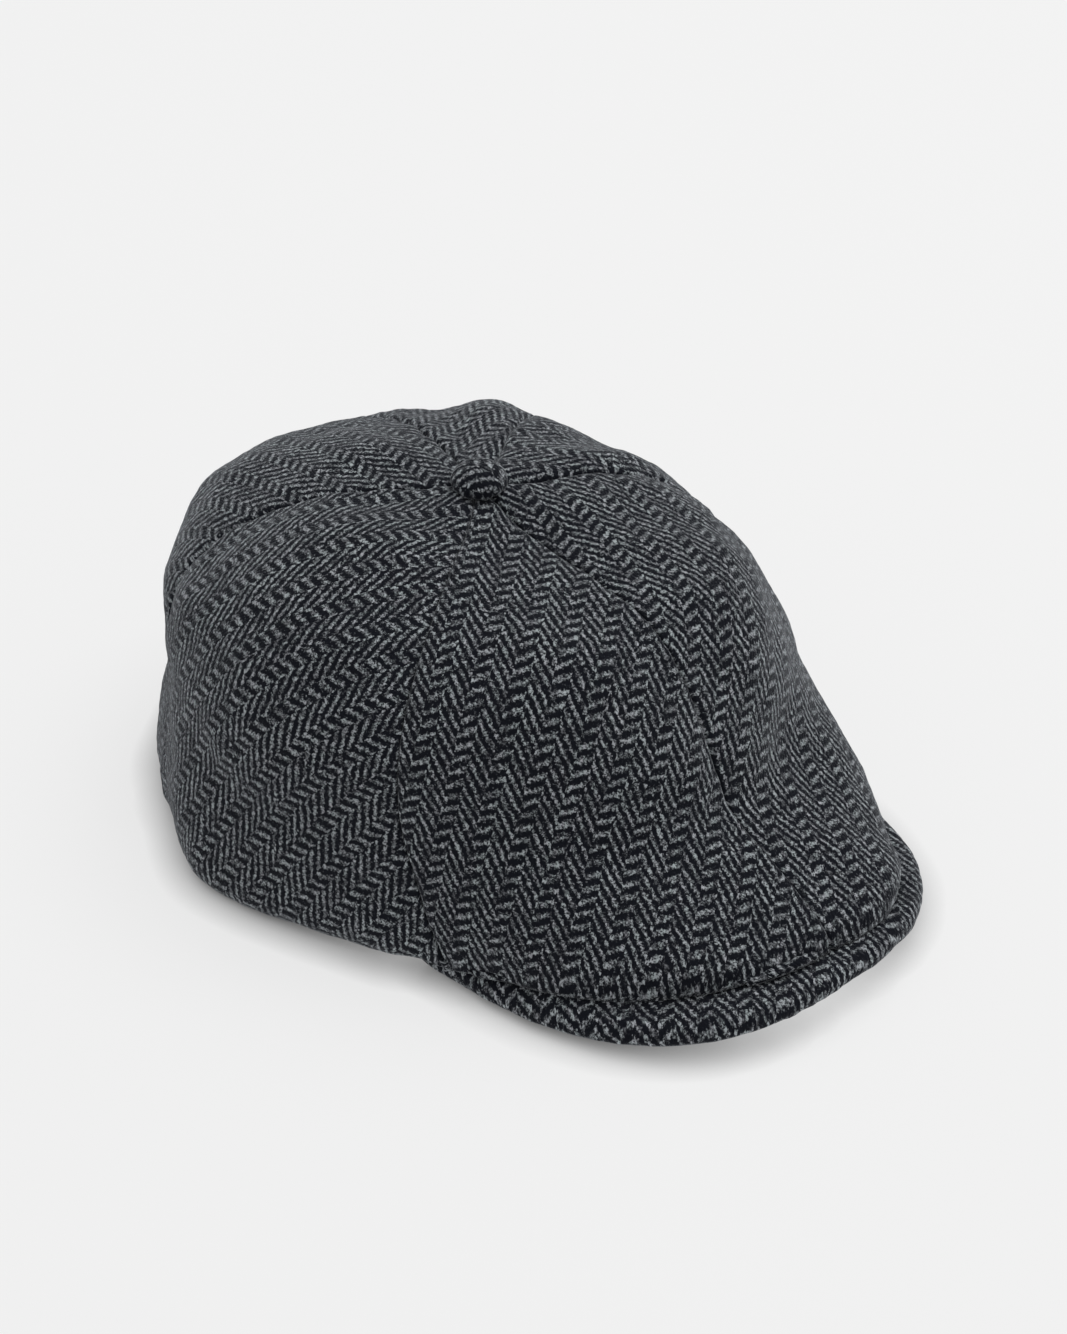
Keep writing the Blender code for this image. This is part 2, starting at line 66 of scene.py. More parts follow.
# The sweatband reaches further ahead of the head centre than behind it.
HEAD_SET_BACK = 5 * MM
HEAD_Y = (BAND_LOW.y + BAND_HIGH.y) / 2 + HEAD_SET_BACK
HEAD_PLACE = np.array((0, HEAD_Y, 0))
BAND_FRONT = HEAD_Y - BAND_LOW.y
BAND_BACK = BAND_HIGH.y - HEAD_Y
VISOR_LOW, VISOR_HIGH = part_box("visor_top_cover")
VISOR_HALF_WIDTH = (VISOR_HIGH.x - VISOR_LOW.x) / 2
VISOR_REACH = HEAD_Y - VISOR_LOW.y
BUTTON_LOW, BUTTON_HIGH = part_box("button_cover")

# ---------- numbers that all the cloths share

# Noise is a sum of this many waves, whose lengths spread round the one asked for.
WAVES = 14
WAVE_SPREAD = (0.7, 1.5)
# Cloth is laid flat in steps, each of which makes up this share of every stretch.
FLATTEN_STEP = 0.16
SHORTEST_LINK = 1e-9
SMALLEST_NORMAL = 1e-12


def smooth(low, high, value):
    """0 at low, 1 at high and smooth between."""
    share = np.clip((value - low) / (high - low), 0, 1)
    return share * share * (3 - 2 * share)


def unit(vectors):
    return vectors / np.linalg.norm(vectors, axis=-1, keepdims=True)


def grid_normals(points):
    across = np.gradient(points, axis=1)
    along = np.gradient(points, axis=0)
    normals = np.cross(across, along)
    normals /= np.maximum(np.linalg.norm(normals, axis=-1, keepdims=True), SMALLEST_NORMAL)
    return normals


def wave_noise(points, wavelength, seed):
    """Smooth noise, mostly from -1 to 1, that is a sum of plane waves of about one wavelength."""
    random = np.random.default_rng(seed)
    total = np.zeros(points.shape[:-1])
    for _ in range(WAVES):
        direction = random.normal(size=3)
        direction /= np.linalg.norm(direction)
        length = wavelength * random.uniform(*WAVE_SPREAD)
        total += np.sin(points @ direction * (2 * np.pi / length) + random.uniform(0, 2 * np.pi))
    return total / math.sqrt(WAVES)


def unevenness(points, noises):
    """The sum of several noises, each given as its amount, wavelength and seed."""
    return sum(amount * wave_noise(points, wavelength, seed) for amount, wavelength, seed in noises)


def row_lengths(points):
    """The way along each row of points up to each point."""
    steps = np.linalg.norm(np.diff(points, axis=1), axis=-1)
    return np.concatenate((np.zeros((len(points), 1)), np.cumsum(steps, axis=1)), axis=1)


def line_lengths(points):
    """The way along one line of points up to each point."""
    return row_lengths(points[None])[0]


def flatten(points, rounds):
    """Lays a grid of cloth out flat: x across and y down the cut, with every short length kept."""
    middle = points.shape[1] // 2
    across = row_lengths(points)
    flat = np.zeros(points.shape[:2] + (2,))
    flat[..., 0] = across - across[:, middle : middle + 1]
    flat[..., 1] = line_lengths(points[:, middle])[:, None]
    whole, early, late = slice(None), slice(None, -1), slice(1, None)
    links = (
        ((whole, late), (whole, early)),
        ((late, whole), (early, whole)),
        ((late, late), (early, early)),
        ((late, early), (early, late)),
    )
    rest = [np.linalg.norm(points[a] - points[b], axis=-1) for a, b in links]
    for _ in range(rounds):
        push = np.zeros_like(flat)
        for (a, b), length in zip(links, rest):
            gap = flat[a] - flat[b]
            now = np.maximum(np.linalg.norm(gap, axis=-1), SHORTEST_LINK)
            move = gap * ((length - now) / now)[..., None]
            push[a] += move
            push[b] -= move
        flat += FLATTEN_STEP * push
    return flat


def sample_grid(grid, u, v):
    """The value of an even grid (rows over v, columns over u, both 0 to 1) between its points."""
    rows, columns = grid.shape[0] - 1, grid.shape[1] - 1
    y, x = np.clip(v, 0, 1) * rows, np.clip(u, 0, 1) * columns
    row, column = np.minimum(y.astype(int), rows - 1), np.minimum(x.astype(int), columns - 1)
    fy, fx = (y - row)[..., None], (x - column)[..., None]
    top = grid[row, column] * (1 - fx) + grid[row, column + 1] * fx
    bottom = grid[row + 1, column] * (1 - fx) + grid[row + 1, column + 1] * fx
    return top * (1 - fy) + bottom * fy


def turned(flat, degrees):
    """Flat coordinates turned so that y runs along the herringbone bands."""
    angle = math.radians(degrees)
    x, y = flat[..., 0], flat[..., 1]
    along = x * math.sin(angle) + y * math.cos(angle)
    across = x * math.cos(angle) - y * math.sin(angle)
    return np.stack((across, along), axis=-1)


def grid_faces(rows, columns, close=False):
    """Faces of a grid of points, whose last column joins the first one if it is closed."""
    faces = []
    for row in range(rows - 1):
        for column in range(columns if close else columns - 1):
            right = (column + 1) % columns
            upper, lower = row * columns, (row + 1) * columns
            faces.append((upper + column, upper + right, lower + right, lower + column))
    return faces


def add_object(name, data):
    """Puts new data into the scene as an object."""
    thing = bpy.data.objects.new(name, data)
    bpy.context.scene.collection.objects.link(thing)
    return thing


def add_piece(name, vertices, faces, map_points, material):
    """A mesh object whose map 'weave' holds the flat place of each vertex, in metres."""
    mesh = bpy.data.meshes.new(name)
    mesh.from_pydata(vertices.tolist(), [], faces)
    weave = mesh.uv_layers.new(name="weave")
    corner_vertices = np.zeros(len(mesh.loops), int)
    mesh.loops.foreach_get("vertex_index", corner_vertices)
    weave.data.foreach_set("uv", map_points[corner_vertices].astype(np.float32).ravel())
    mesh.materials.append(material)
    mesh.shade_smooth()
    mesh.validate()
    return add_object(name, mesh)


def grid_piece(name, points, flat, material, thickness):
    """Cloth from a grid of points with the outer face given, thickened inwards."""
    faces = grid_faces(*points.shape[:2])
    piece = add_piece(name, points.reshape(-1, 3), faces, flat.reshape(-1, 2), material)
    solidify = piece.modifiers.new("Thickness", "SOLIDIFY")
    solidify.thickness = thickness
    solidify.offset = -1.0
    return piece


# ---------- shape of the crown and the lining

# Rings round the cap from the hole under the button down to the turned hem, in millimetres from the head
# centre: reach and height in front, half width, set-back and height at the side, reach and height behind.
CROWN_RINGS = np.array([
    (11.5, 119, 3.5, -8, 119, -4.5, 119),
    (30, 111.5, 18, -8, 117, 15, 116.5),
    (59, 109, 42, -4, 114, 46, 110.5),
    (85, 104, 66, 0, 103, 76, 98.5),
    (102, 88, 84.5, 3, 86, 97, 84),
    (112.5, 69, 93.5, 6, 68, 103, 67),
    (122, 51, 96, 10, 50, 99, 48),
    (140, 41, 98, 14, 33, 98.5, 32),
    (155.5, 32, 99.5, 17, 17, 101.5, 17),
    (164.5, 26, 98.5, 18, 7.5, 102, 8),
    (160.5, 22.2, 96, 16, 1.8, 100, 1.8),
    (112, 22.2, 93.6, 10, 0.8, 98.4, 0.8),
    (107, 29, 92.6, 6, 8, 97, 8),
])
# The same seven numbers for the lining, down to its lower edge behind the sweatband.
LINING_RINGS = np.array([
    (11.5, 113, 3.5, -8, 113, -4.5, 113),
    (30, 108, 20, -8, 111, 14, 111),
    (56, 105, 42.5, -5, 107.5, 42, 106),
    (80, 98.5, 65, -2, 98, 70.5, 95),
    (96, 84, 82, 2, 83, 90.5, 81),
    (106, 66, 90, 5, 66, 97, 65),
    (110, 50, 92.2, 6, 48, 95.8, 48),
    (106.2, 36, 91.8, 6, 22, 95.8, 22),
    (105.8, 24.5, 91.8, 6, 2.5, 95.8, 2.5),
])
# Between a ring's side and its front or back the height follows a power of the cosine.
FRONT_RISE = 1.6
BACK_RISE = 2
# Soft swells and dents: angle, place, their half widths, and millimetres outwards.
CROWN_SWELLS = (
    (318, 7.4, 20, 1.6, 5),
    (338, 8.9, 16, 1, 5),
    (84, 9.3, 15, 1.4, 5.2),
    (128, 7, 16, 2.2, -3.4),
    (172, 3.6, 15, 1.5, 1),
    (222, 3, 9, 2, -5),
    (268, 3.2, 11, 1.5, -5),
)
LINING_SWELLS = ((212, 2.5, 12, 1.7, -4.4), (270, 2.6, 14, 1.4, -4.5))
SWELLS_BEGIN = (0.2, 1.2)
PUFF_CENTRE = np.array((0.0, 0.0, 45 * MM))
PUFF_FULLNESS = 0.7
CROWN_PUFF = 3.2 * MM
CROWN_PUFF_END = 10.5
LINING_PUFF = 1.5 * MM
LINING_HEM = len(LINING_RINGS) - 2
# Seams at the button and at the hem, in degrees from the front towards the wearer's right. The cap lies a
# little twisted in the photograph, so the seams behind the button start further round than a pattern's would.
SEAM_TOP = (0, 60, 134, 208, 246, 288, 360)
SEAM_RIM = (0, 58, 114, 182, 250, 302, 360)
SEAM_BLEND = 2.0 * MM
# Each panel, and the way its herringbone bands head from the button, in degrees like the seams.
RIGHT_GRAIN = {"front_right": 57, "side_right": 128, "back_right": 195}
GRAIN = {**RIGHT_GRAIN, "back_left": 265, "side_left": 327, "front_left": 369}
PANELS = tuple(GRAIN)

# One layer of six panels: its rings and the number of the last one, how far the panels puff out and to which
# place, and its swells.
Shell = namedtuple("Shell", "rings last puff puff_end swells")
CROWN = Shell(CROWN_RINGS, len(CROWN_RINGS) - 1, CROWN_PUFF, CROWN_PUFF_END, CROWN_SWELLS)
LINING = Shell(LINING_RINGS, len(LINING_RINGS) - 1, LINING_PUFF, LINING_HEM, LINING_SWELLS)


def ring_points(rings, index, angle):
    """Points of rings (by index) at angles from the front towards the wearer's right, in metres."""
    front, front_z, side, set_back, side_z, back, back_z = np.moveaxis(rings[index], -1, 0)
    ahead = np.cos(angle)
    reach = np.where(ahead > 0, front + set_back, back - set_back)
    front_rise = np.abs(ahead) ** FRONT_RISE * (front_z - side_z)
    rise = np.where(ahead > 0, front_rise, ahead**BACK_RISE * (back_z - side_z))
    points = np.stack((-side * np.sin(angle), set_back - reach * ahead, side_z + rise), axis=-1)
    return points * MM


def surface_points(rings, angle, place):
    """The smooth surface through the rings, at places counted in rings from the top."""
    last = len(rings) - 1
    index = np.minimum(place.astype(int), last - 1)
    t = (place - index)[..., None]
    near = (ring_points(rings, np.clip(index + step, 0, last), angle) for step in (-1, 0, 1, 2))
    before, start, end, after = near
    return 0.5 * (
        2 * start
        + (end - before) * t
        + (2 * before - 5 * start + 4 * end - after) * t**2
        + (3 * start - 3 * end + after - before) * t**3
    )


def seam_angle(seam, down):
    """Where a seam runs, in radians, at a share of the way down from the button."""
    lean = 3 * down**2 - 2 * down**3
    return np.radians(SEAM_TOP[seam] + (SEAM_RIM[seam] - SEAM_TOP[seam]) * lean)


def swell(swells, angle, place):
    """How far the cloth stands out at angles (in radians) and places, in metres."""
    total = np.zeros(place.shape)
    for centre, centre_place, half_angle, half_place, amount in swells:
        turn = (np.degrees(angle) - centre + 180) % 360 - 180
        away = (turn / half_angle) ** 2 + ((place - centre_place) / half_place) ** 2
        total += amount * MM * np.exp(-away)
    return total


def panel_surface(shell, panel, u, place):
    """Points of one wedge panel, round the head centre: u runs across it and place down it."""
    down = place / shell.last
    start = seam_angle(panel, down)
    end = seam_angle(panel + 1, down)
    angle = start + u * (end - start)
    points = surface_points(shell.rings, angle, place)
    share = np.clip(place / shell.puff_end, 0, 1)
    bulge = shell.puff * np.sin(np.pi * share) ** PUFF_FULLNESS * np.sin(np.pi * u)
    bulge = bulge + swell(shell.swells, angle, place) * smooth(*SWELLS_BEGIN, place)
    return points + unit(points - PUFF_CENTRE) * bulge[..., None]


def seam_normals(points, normals, from_seam, above_hem):
    """Normals that turn, close to a seam above the hem, to one that both neighbouring panels share."""
    share = (np.exp(-from_seam / SEAM_BLEND) * above_hem)[..., None]
    return unit(normals * (1 - share) + unit(points - PUFF_CENTRE) * share)


# ---------- crown

TWEED = 1.8 * MM
PANEL_ROWS = 200
PLACE_SAMPLES = 600
# Columns lie close together next to a seam, at these distances from it, and evenly between.
EDGE_STEPS = np.array((0.0, 0.25, 0.6, 1.1, 1.8, 2.7, 4.0, 5.8)) * MM
EDGE_SHARE = 0.4
COARSE_COLUMNS = 25
INNER_COLUMNS = 50
# The seam's groove, the cloth turned in below it, and how far its puckers and the taut cloth reach.
GROOVE_DEPTH = 1.6 * MM
GROOVE_WIDTH = 2.6 * MM
TURNED_IN = np.array((2.2, 0.9)) * MM
PUCKERS_REACH = 7 * MM
TAUT_CLOTH = 12 * MM
# Noises are given as amount, wavelength and seed.
CROWN_PUCKERS = ((0.35 * MM, 11 * MM, 31),)
CROWN_SAG = ((1.1 * MM, 52 * MM, 7), (0.4 * MM, 21 * MM, 8))
CROWN_NAP = ((0.11 * MM, 4.5 * MM, 9),)
# The flat cut is worked out down to the fold, and the cloth runs straight on from there.
CROWN_FOLD = 9.2
CUT_COLUMNS = 17
CUT_ROWS = 46
HEM_ROWS = 12
CUT_ROUNDS = 600
# Places where the shared seam normals end, and where the front fold starts and stops lying on the visor.
SEAM_BLEND_ENDS = (9.3, 10.0)
FOLD_BEGINS = (8.0, 9.7)
FOLD_ENDS = (10.0, 10.35)
FOLD_FRONT = 9.0
FOLD_TOP_SHARE = 0.75
FOLD_AHEAD = (-62 * MM, -80 * MM)
FOLD_GAP = 1.9 * MM
FOLD_LIFT = -3 * MM
FOLD_DROP = 5 * MM
# The hem stands this high, and cloth that would go below the table is squashed to this share of its depth.
REST_HEIGHT = 0.5 * MM
SQUASH = 0.15


def rest_fold_on_visor(points, place):
    """Lowers the crown's front fold until its front edge lies on the visor."""
    x, y, z = points[..., 0], points[..., 1], points[..., 2]
    share = smooth(*FOLD_BEGINS, place) * (1 - smooth(*FOLD_ENDS, place))
    over_visor = smooth(*FOLD_AHEAD, y)
    gap = np.clip(z - (visor_height(x, y) + FOLD_GAP), FOLD_LIFT, FOLD_DROP)
    points = points.copy()
    points[..., 2] = z - gap * share * over_visor * np.where(place > FOLD_FRONT, 1, FOLD_TOP_SHARE)
    return points


def panel_places(panel):
    """Places down a crown panel's middle that are evenly spaced along the cloth."""
    fine = np.linspace(0, CROWN.last, PLACE_SAMPLES)
    lengths = line_lengths(panel_surface(CROWN, panel, np.full(PLACE_SAMPLES, 0.5), fine))
    return np.interp(np.linspace(0, lengths[-1], PANEL_ROWS), lengths, fine)


def panel_columns(width):
    """How far across a panel each point lies, 0 to 1, for rows of the widths given."""
    edge = EDGE_STEPS[None, :] * np.minimum(1, EDGE_SHARE * width / EDGE_STEPS[-1])[:, None] / width[:, None]
    right = 1 - edge[:, ::-1]
    between = np.linspace(0, 1, INNER_COLUMNS + 2)[None, 1:-1]
    inner = edge[:, -1:] + (right[:, :1] - edge[:, -1:]) * between
    return np.concatenate((edge, inner, right), axis=1)


def panel_cut(panel, u, place):
    """Where each point of a crown panel lay on the flat cloth. Below the fold the cloth just runs on."""
    across = np.linspace(0, 1, CUT_COLUMNS)
    sampled = panel_surface(CROWN, panel, *np.meshgrid(across, np.linspace(0, CROWN_FOLD, CUT_ROWS)))
    flat = flatten(sampled, CUT_ROUNDS)
    beyond = np.linspace(CROWN_FOLD, CROWN.last, HEM_ROWS)[1:]
    hem = np.concatenate((sampled[-1:], panel_surface(CROWN, panel, *np.meshgrid(across, beyond))))
    runs = np.cumsum(np.linalg.norm(np.diff(hem, axis=0), axis=-1), axis=0)
    heading = unit(flat[-1] - flat[-3])
    # The first two steps beyond the fold are taken as one.
    flat_hem = np.concatenate((flat[-1:], flat[-1] + heading * runs[1:, :, None]))
    above = sample_grid(flat, u, place / CROWN_FOLD)
    below = sample_grid(flat_hem, u, (place - CROWN_FOLD) / (CROWN.last - CROWN_FOLD))
    return np.where((place > CROWN_FOLD)[..., None], below, above)


def with_turned_in(grid, left_way, right_way):
    """A grid with the columns turned in at both seams, which run on from its edges the ways given."""
    inwards = TURNED_IN[:, None]
    left = grid[:, :1] + left_way * inwards
    right = grid[:, -1:] + right_way * inwards[::-1]
    return np.concatenate((left, grid, right), axis=1)


def make_crown_panel(panel, material):
    """One crown panel: uneven cloth with a groove and puckers at its seams, resting on the visor."""
    name = PANELS[panel]
    place_rows = panel_places(panel)
    coarse = panel_surface(CROWN, panel, *np.meshgrid(np.linspace(0, 1, COARSE_COLUMNS), place_rows))
    width = row_lengths(coarse)[:, -1]
    u = panel_columns(width)
    place = np.repeat(place_rows[:, None], u.shape[1], axis=1)
    points = rest_fold_on_visor(panel_surface(CROWN, panel, u, place), place)

    from_seam = np.minimum(u, 1 - u) * width[:, None]
    normals = seam_normals(points, grid_normals(points), from_seam, 1 - smooth(*SEAM_BLEND_ENDS, place))
    groove = 1 - np.sqrt(1 - np.clip(1 - from_seam / GROOVE_WIDTH, 0, 1) ** 2)
    puckers = np.exp(-from_seam / PUCKERS_REACH) * unevenness(points, CROWN_PUCKERS)
    sag = unevenness(points, CROWN_SAG) * smooth(0, TAUT_CLOTH, from_seam)
    nap = unevenness(points, CROWN_NAP)
    points = points + normals * (puckers + sag + nap - groove * GROOVE_DEPTH)[..., None]

    points = with_turned_in(points, -normals[:, :1], -normals[:, -1:]) + HEAD_PLACE
    cut = panel_cut(panel, u, place)
    left_way, right_way = cut[:, :1] - cut[:, 3:4], cut[:, -1:] - cut[:, -4:-3]
    cut = with_turned_in(cut, left_way / EDGE_STEPS[3], right_way / EDGE_STEPS[3])
    middle = (SEAM_TOP[panel] + SEAM_TOP[panel + 1]) / 2
    weave = turned(cut, GRAIN[name] - middle)
    points[..., 2] = np.maximum(points[..., 2], REST_HEIGHT) + SQUASH * np.minimum(points[..., 2], 0)
    piece = grid_piece("crown_cloth_" + name, points, weave, material, TWEED)
    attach(piece, "cap")
    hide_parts("crown_panel_" + name)


# ---------- lining

LINING_CLOTH = 0.6 * MM
LINING_COLUMNS = 25
LINING_ROWS = 84
LINING_ROUNDS = 500
LINING_TUCK = 0.6 * MM
LINING_TUCK_REACH = 0.8 * MM
LINING_TAUT = 14 * MM
LINING_SLACK = 1.1 * MM
LINING_SLACK_LENGTH = 34 * MM
LINING_SLACK_SEED = 17
LINING_PUCKERS = ((0.25 * MM, 8 * MM, 18),)
LINING_PUCKERS_REACH = 5 * MM


def make_lining_panel(panel, material):
    """One lining panel, which hangs a little slack inside the crown and is gathered at its seams."""
    name = PANELS[panel]
    across = np.linspace(0, 1, LINING_COLUMNS)
    u, place = np.meshgrid(across, np.linspace(0, LINING.last, LINING_ROWS))
    points = panel_surface(LINING, panel, u, place)
    from_seam = np.minimum(u, 1 - u) * row_lengths(points)[:, -1:]
    above_hem = smooth(0, 1, LINING_HEM - place)
    normals = seam_normals(points, grid_normals(points), from_seam, above_hem)
    free = smooth(0, LINING_TAUT, from_seam) * above_hem
    slack = LINING_SLACK * free * (wave_noise(points, LINING_SLACK_LENGTH, LINING_SLACK_SEED) - 1)
    puckers = np.exp(-from_seam / LINING_PUCKERS_REACH) * unevenness(points, LINING_PUCKERS)
    tuck = LINING_TUCK * np.exp(-from_seam / LINING_TUCK_REACH)
    points = points + normals * (slack + puckers - tuck)[..., None]
    cut = flatten(points, LINING_ROUNDS)
    piece = grid_piece("lining_cloth_" + name, points + HEAD_PLACE, cut, material, LINING_CLOTH)
    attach(piece, "cap")
    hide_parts("lining_panel_" + name)


# ---------- sweatband and label

BAND_THICKNESS = 1.4 * MM
BAND_HEIGHT = 30 * MM
BAND_LIFT = 0.5 * MM
BAND_FRONT_LIFT = 22.4 * MM
BAND_JOIN_ANGLE = 0.3
BAND_COLUMNS = 240
BAND_ROWS = 16
BAND_INSET = 0.4 * MM
BAND_ROLL = 0.9 * MM
BAND_ROLL_SHARE = 0.05
BAND_WAVE = 0.35 * MM
BAND_WAVES = 7
LABEL_HALF_ANGLE = 12
LABEL_BOTTOM = 8 * MM
LABEL_TOP = 22 * MM
LABEL_HEIGHT = LABEL_TOP - LABEL_BOTTOM
LABEL_THICKNESS = 0.5 * MM
LABEL_GAP = 0.5 * MM
LABEL_COLUMNS = 33
LABEL_ROWS = 13
LABEL_BULGE = 0.25 * MM
LABEL_END_DIP = 0.15 * MM
STITCH_PITCH = 3.2 * MM
STITCH_LENGTH = 2.5 * MM
STITCH_MARGIN = 2.6 * MM
STITCH_INWARDS = BAND_THICKNESS + 0.5 * MM
THREAD_RADIUS = 0.22 * MM
THREAD_SIDES = 6
# Rings of a stitch: share of the way along it, and size and rise in thread radii.
THREAD_RINGS = ((0.0, 0.35, -1.2), (0.12, 0.9, 0.1), (0.5, 1.0, 0.7), (0.88, 0.9, 0.1), (1.0, 0.35, -1.2))


def band_point(angle, inwards, height):
    """Points at heights above the rim's lower edge, on the sweatband's outer oval moved inwards."""
    ahead = np.cos(angle)
    reach = np.where(ahead > 0, BAND_FRONT + BAND_SET_BACK, BAND_BACK - BAND_SET_BACK) - inwards
    lift = BAND_LIFT + BAND_FRONT_LIFT * np.maximum(ahead, 0) ** FRONT_RISE
    x = -(BAND_HALF_WIDTH - inwards) * np.sin(angle)
    return np.stack((x, HEAD_Y + BAND_SET_BACK - reach * ahead, lift + height + 0 * angle), axis=-1)


def make_sweatband(material):
    """A ribbed tape round the head, rolled at both edges and joined behind."""
    around = np.radians(np.linspace(180 + BAND_JOIN_ANGLE, 540 - BAND_JOIN_ANGLE, BAND_COLUMNS))
    angle, share = np.meshgrid(around, np.linspace(0, 1, BAND_ROWS))
    wave = BAND_WAVE * np.sin(BAND_WAVES * angle) * np.sin(np.pi * share)
    roll = BAND_ROLL * (np.exp(-share / BAND_ROLL_SHARE) + np.exp(-(1 - share) / BAND_ROLL_SHARE))
    points = band_point(angle, BAND_INSET + wave + roll / 2, BAND_HEIGHT * share)
    cut = np.stack((row_lengths(points), BAND_HEIGHT * share), axis=-1)
    piece = grid_piece("sweatband_tape", points, cut, material, BAND_THICKNESS)
    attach(piece, "cap")
    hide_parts("sweatband")


def make_label(material):
    """A small woven label without any writing, on the back of the sweatband."""
    around = np.radians(180 + np.linspace(-LABEL_HALF_ANGLE, LABEL_HALF_ANGLE, LABEL_COLUMNS))
    angle, share = np.meshgrid(around, np.linspace(0, 1, LABEL_ROWS))
    end = np.abs(np.degrees(angle) - 180) / LABEL_HALF_ANGLE
    lift = LABEL_BULGE * np.sin(np.pi * share) * (1 - end**6) - LABEL_END_DIP * end**8
    inwards = BAND_THICKNESS + LABEL_GAP + LABEL_THICKNESS + lift
    points = band_point(angle, inwards, LABEL_BOTTOM + LABEL_HEIGHT * share)
    cut = np.stack((row_lengths(points), LABEL_HEIGHT * share), axis=-1)
    piece = grid_piece("label_cloth", points, cut, material, LABEL_THICKNESS)
    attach(piece, "cap")
    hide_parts("size_label")


def band_stitches(angles, height):
    """Start and end points and inward directions of a row of stitches on the sweatband."""
    half = STITCH_LENGTH / 2 / BAND_BACK
    starts = band_point(angles - half, STITCH_INWARDS, height)
    ends = band_point(angles + half, STITCH_INWARDS, height)
    middle = band_point(angles, STITCH_INWARDS, height)
    return starts, ends, unit(band_point(angles, STITCH_INWARDS + 1 * MM, height) - middle)


def make_band_stitches(material):
    """Two rows of short rounded threads that hold the sweatband near its edges, as one piece."""
    angles = np.linspace(0, 2 * np.pi, round(2 * np.pi * BAND_BACK / STITCH_PITCH), endpoint=False)
    rows = [band_stitches(angles, height) for height in (STITCH_MARGIN, BAND_HEIGHT - STITCH_MARGIN)]
    starts, ends, into = (np.concatenate(part) for part in zip(*rows))
    around = np.linspace(0, 2 * np.pi, THREAD_SIDES, endpoint=False)
    last_ring = (len(THREAD_RINGS) - 1) * THREAD_SIDES
    vertices = []
    faces = []
    for start, end, side, out in zip(starts, ends, np.cross(unit(ends - starts), into), into):
        first = len(vertices)
        for share, size, rise in THREAD_RINGS:
            middle = start + (end - start) * share + out * THREAD_RADIUS * rise
            radius = THREAD_RADIUS * size
            vertices.extend(middle + radius * (math.cos(a) * side + math.sin(a) * out) for a in around)
        for face in grid_faces(len(THREAD_RINGS), THREAD_SIDES, close=True):
            faces.append(tuple(first + corner for corner in face))
        faces.append(tuple(first + corner for corner in range(THREAD_SIDES)))
        faces.append(tuple(first + last_ring + corner for corner in reversed(range(THREAD_SIDES))))
    vertices = np.array(vertices)
    piece = add_piece("sweatband_stitches", vertices, faces, vertices[:, :2], material)
    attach(piece, "cap")


# ---------- visor

VISOR_CORNER_FRONT = 65 * MM
VISOR_SQUARENESS = 2.5
VISOR_ROOT_HALF_WIDTH = 94 * MM
VISOR_ROOT_FRONT = 109 * MM
VISOR_ROOT_HALF_ANGLE = 53
# The visor's upper face: its height at the middle of the root, its fall over its length, and how much lower
# it lies at a distance from its middle.
VISOR_TOP = 18.8 * MM
VISOR_FALL = 1.5 * MM
VISOR_LENGTH = 65.5 * MM
VISOR_ARCH = 12.4 * MM
VISOR_ARCH_HALF_WIDTH = 80 * MM
VISOR_THICKNESS = 5.2 * MM
NOSE = VISOR_THICKNESS / 2
TOP_CLOTH = 1.6 * MM
UNDER_CLOTH = 1.2 * MM
VISOR_COLUMNS = 190
VISOR_ROWS = 46
EDGE_SAMPLES = 2001
# The two cloths meet round the nose, at this angle from its top, and turn into the seam there.
NOSE_SEAM = 118
NOSE_OVERLAP = 3
NOSE_STEPS = 14
TOP_SEAM_INSETS = np.array((0.5, 1.2)) * MM
TOP_SEAM_DROPS = np.array((-0.15, -0.5)) * MM
UNDER_SEAM_INSETS = np.array((0.5, 1.1)) * MM
UNDER_SEAM_DROPS = np.array((0.0, -0.2)) * MM
# A lip of the lower cloth turns up behind the board's root.
UNDER_LIP_SHARE = -0.02
VISOR_GRAIN = 44
TOP_NOISES = ((0.22 * MM, 15 * MM, 41), (0.12 * MM, 5 * MM, 42))
UNDER_NOISES = ((0.2 * MM, 13 * MM, 43), (0.1 * MM, 5 * MM, 44))
# The strip between band and visor: how far it reaches past the hem and the nose, leans back and bulges.
STRIP_CLOTH = 1.0 * MM
STRIP_COLUMNS = 120
STRIP_ROWS = 12
STRIP_END = 0.01
HEM_LOW = 0.8 * MM
HEM_RISE = 21.4 * MM
STRIP_ABOVE_HEM = 5.0 * MM
STRIP_BELOW_NOSE = 0.6 * MM
STRIP_LEAN = 2.2 * MM
STRIP_BULGE = 0.4 * MM


def visor_height(x, y):
    """Height of the visor's upper face, for a plan place measured from the head centre."""
    slope = (-y - VISOR_ROOT_FRONT) / VISOR_LENGTH
    return VISOR_TOP - VISOR_ARCH * (x / VISOR_ARCH_HALF_WIDTH) ** 2 - VISOR_FALL * slope


def visor_root(u):
    """The visor's sewn edge in plan, from the wearer's right corner to the left one."""
    angle = np.radians(VISOR_ROOT_HALF_ANGLE) * (1 - 2 * u)
    reach = VISOR_ROOT_FRONT + BAND_SET_BACK
    return np.stack((-VISOR_ROOT_HALF_WIDTH * np.sin(angle), BAND_SET_BACK - reach * np.cos(angle)), axis=-1)


def visor_edge(u, inset):
    """The visor's free edge in plan, moved inwards."""
    angle = np.pi / 2 * (1 - 2 * u)
    power = 2 / VISOR_SQUARENESS
    across = np.sign(angle) * np.abs(np.sin(angle)) ** power
    ahead = np.abs(np.cos(angle)) ** power
    reach = VISOR_REACH - VISOR_CORNER_FRONT - inset
    return np.stack((-(VISOR_HALF_WIDTH - inset) * across, -VISOR_CORNER_FRONT - reach * ahead), axis=-1)


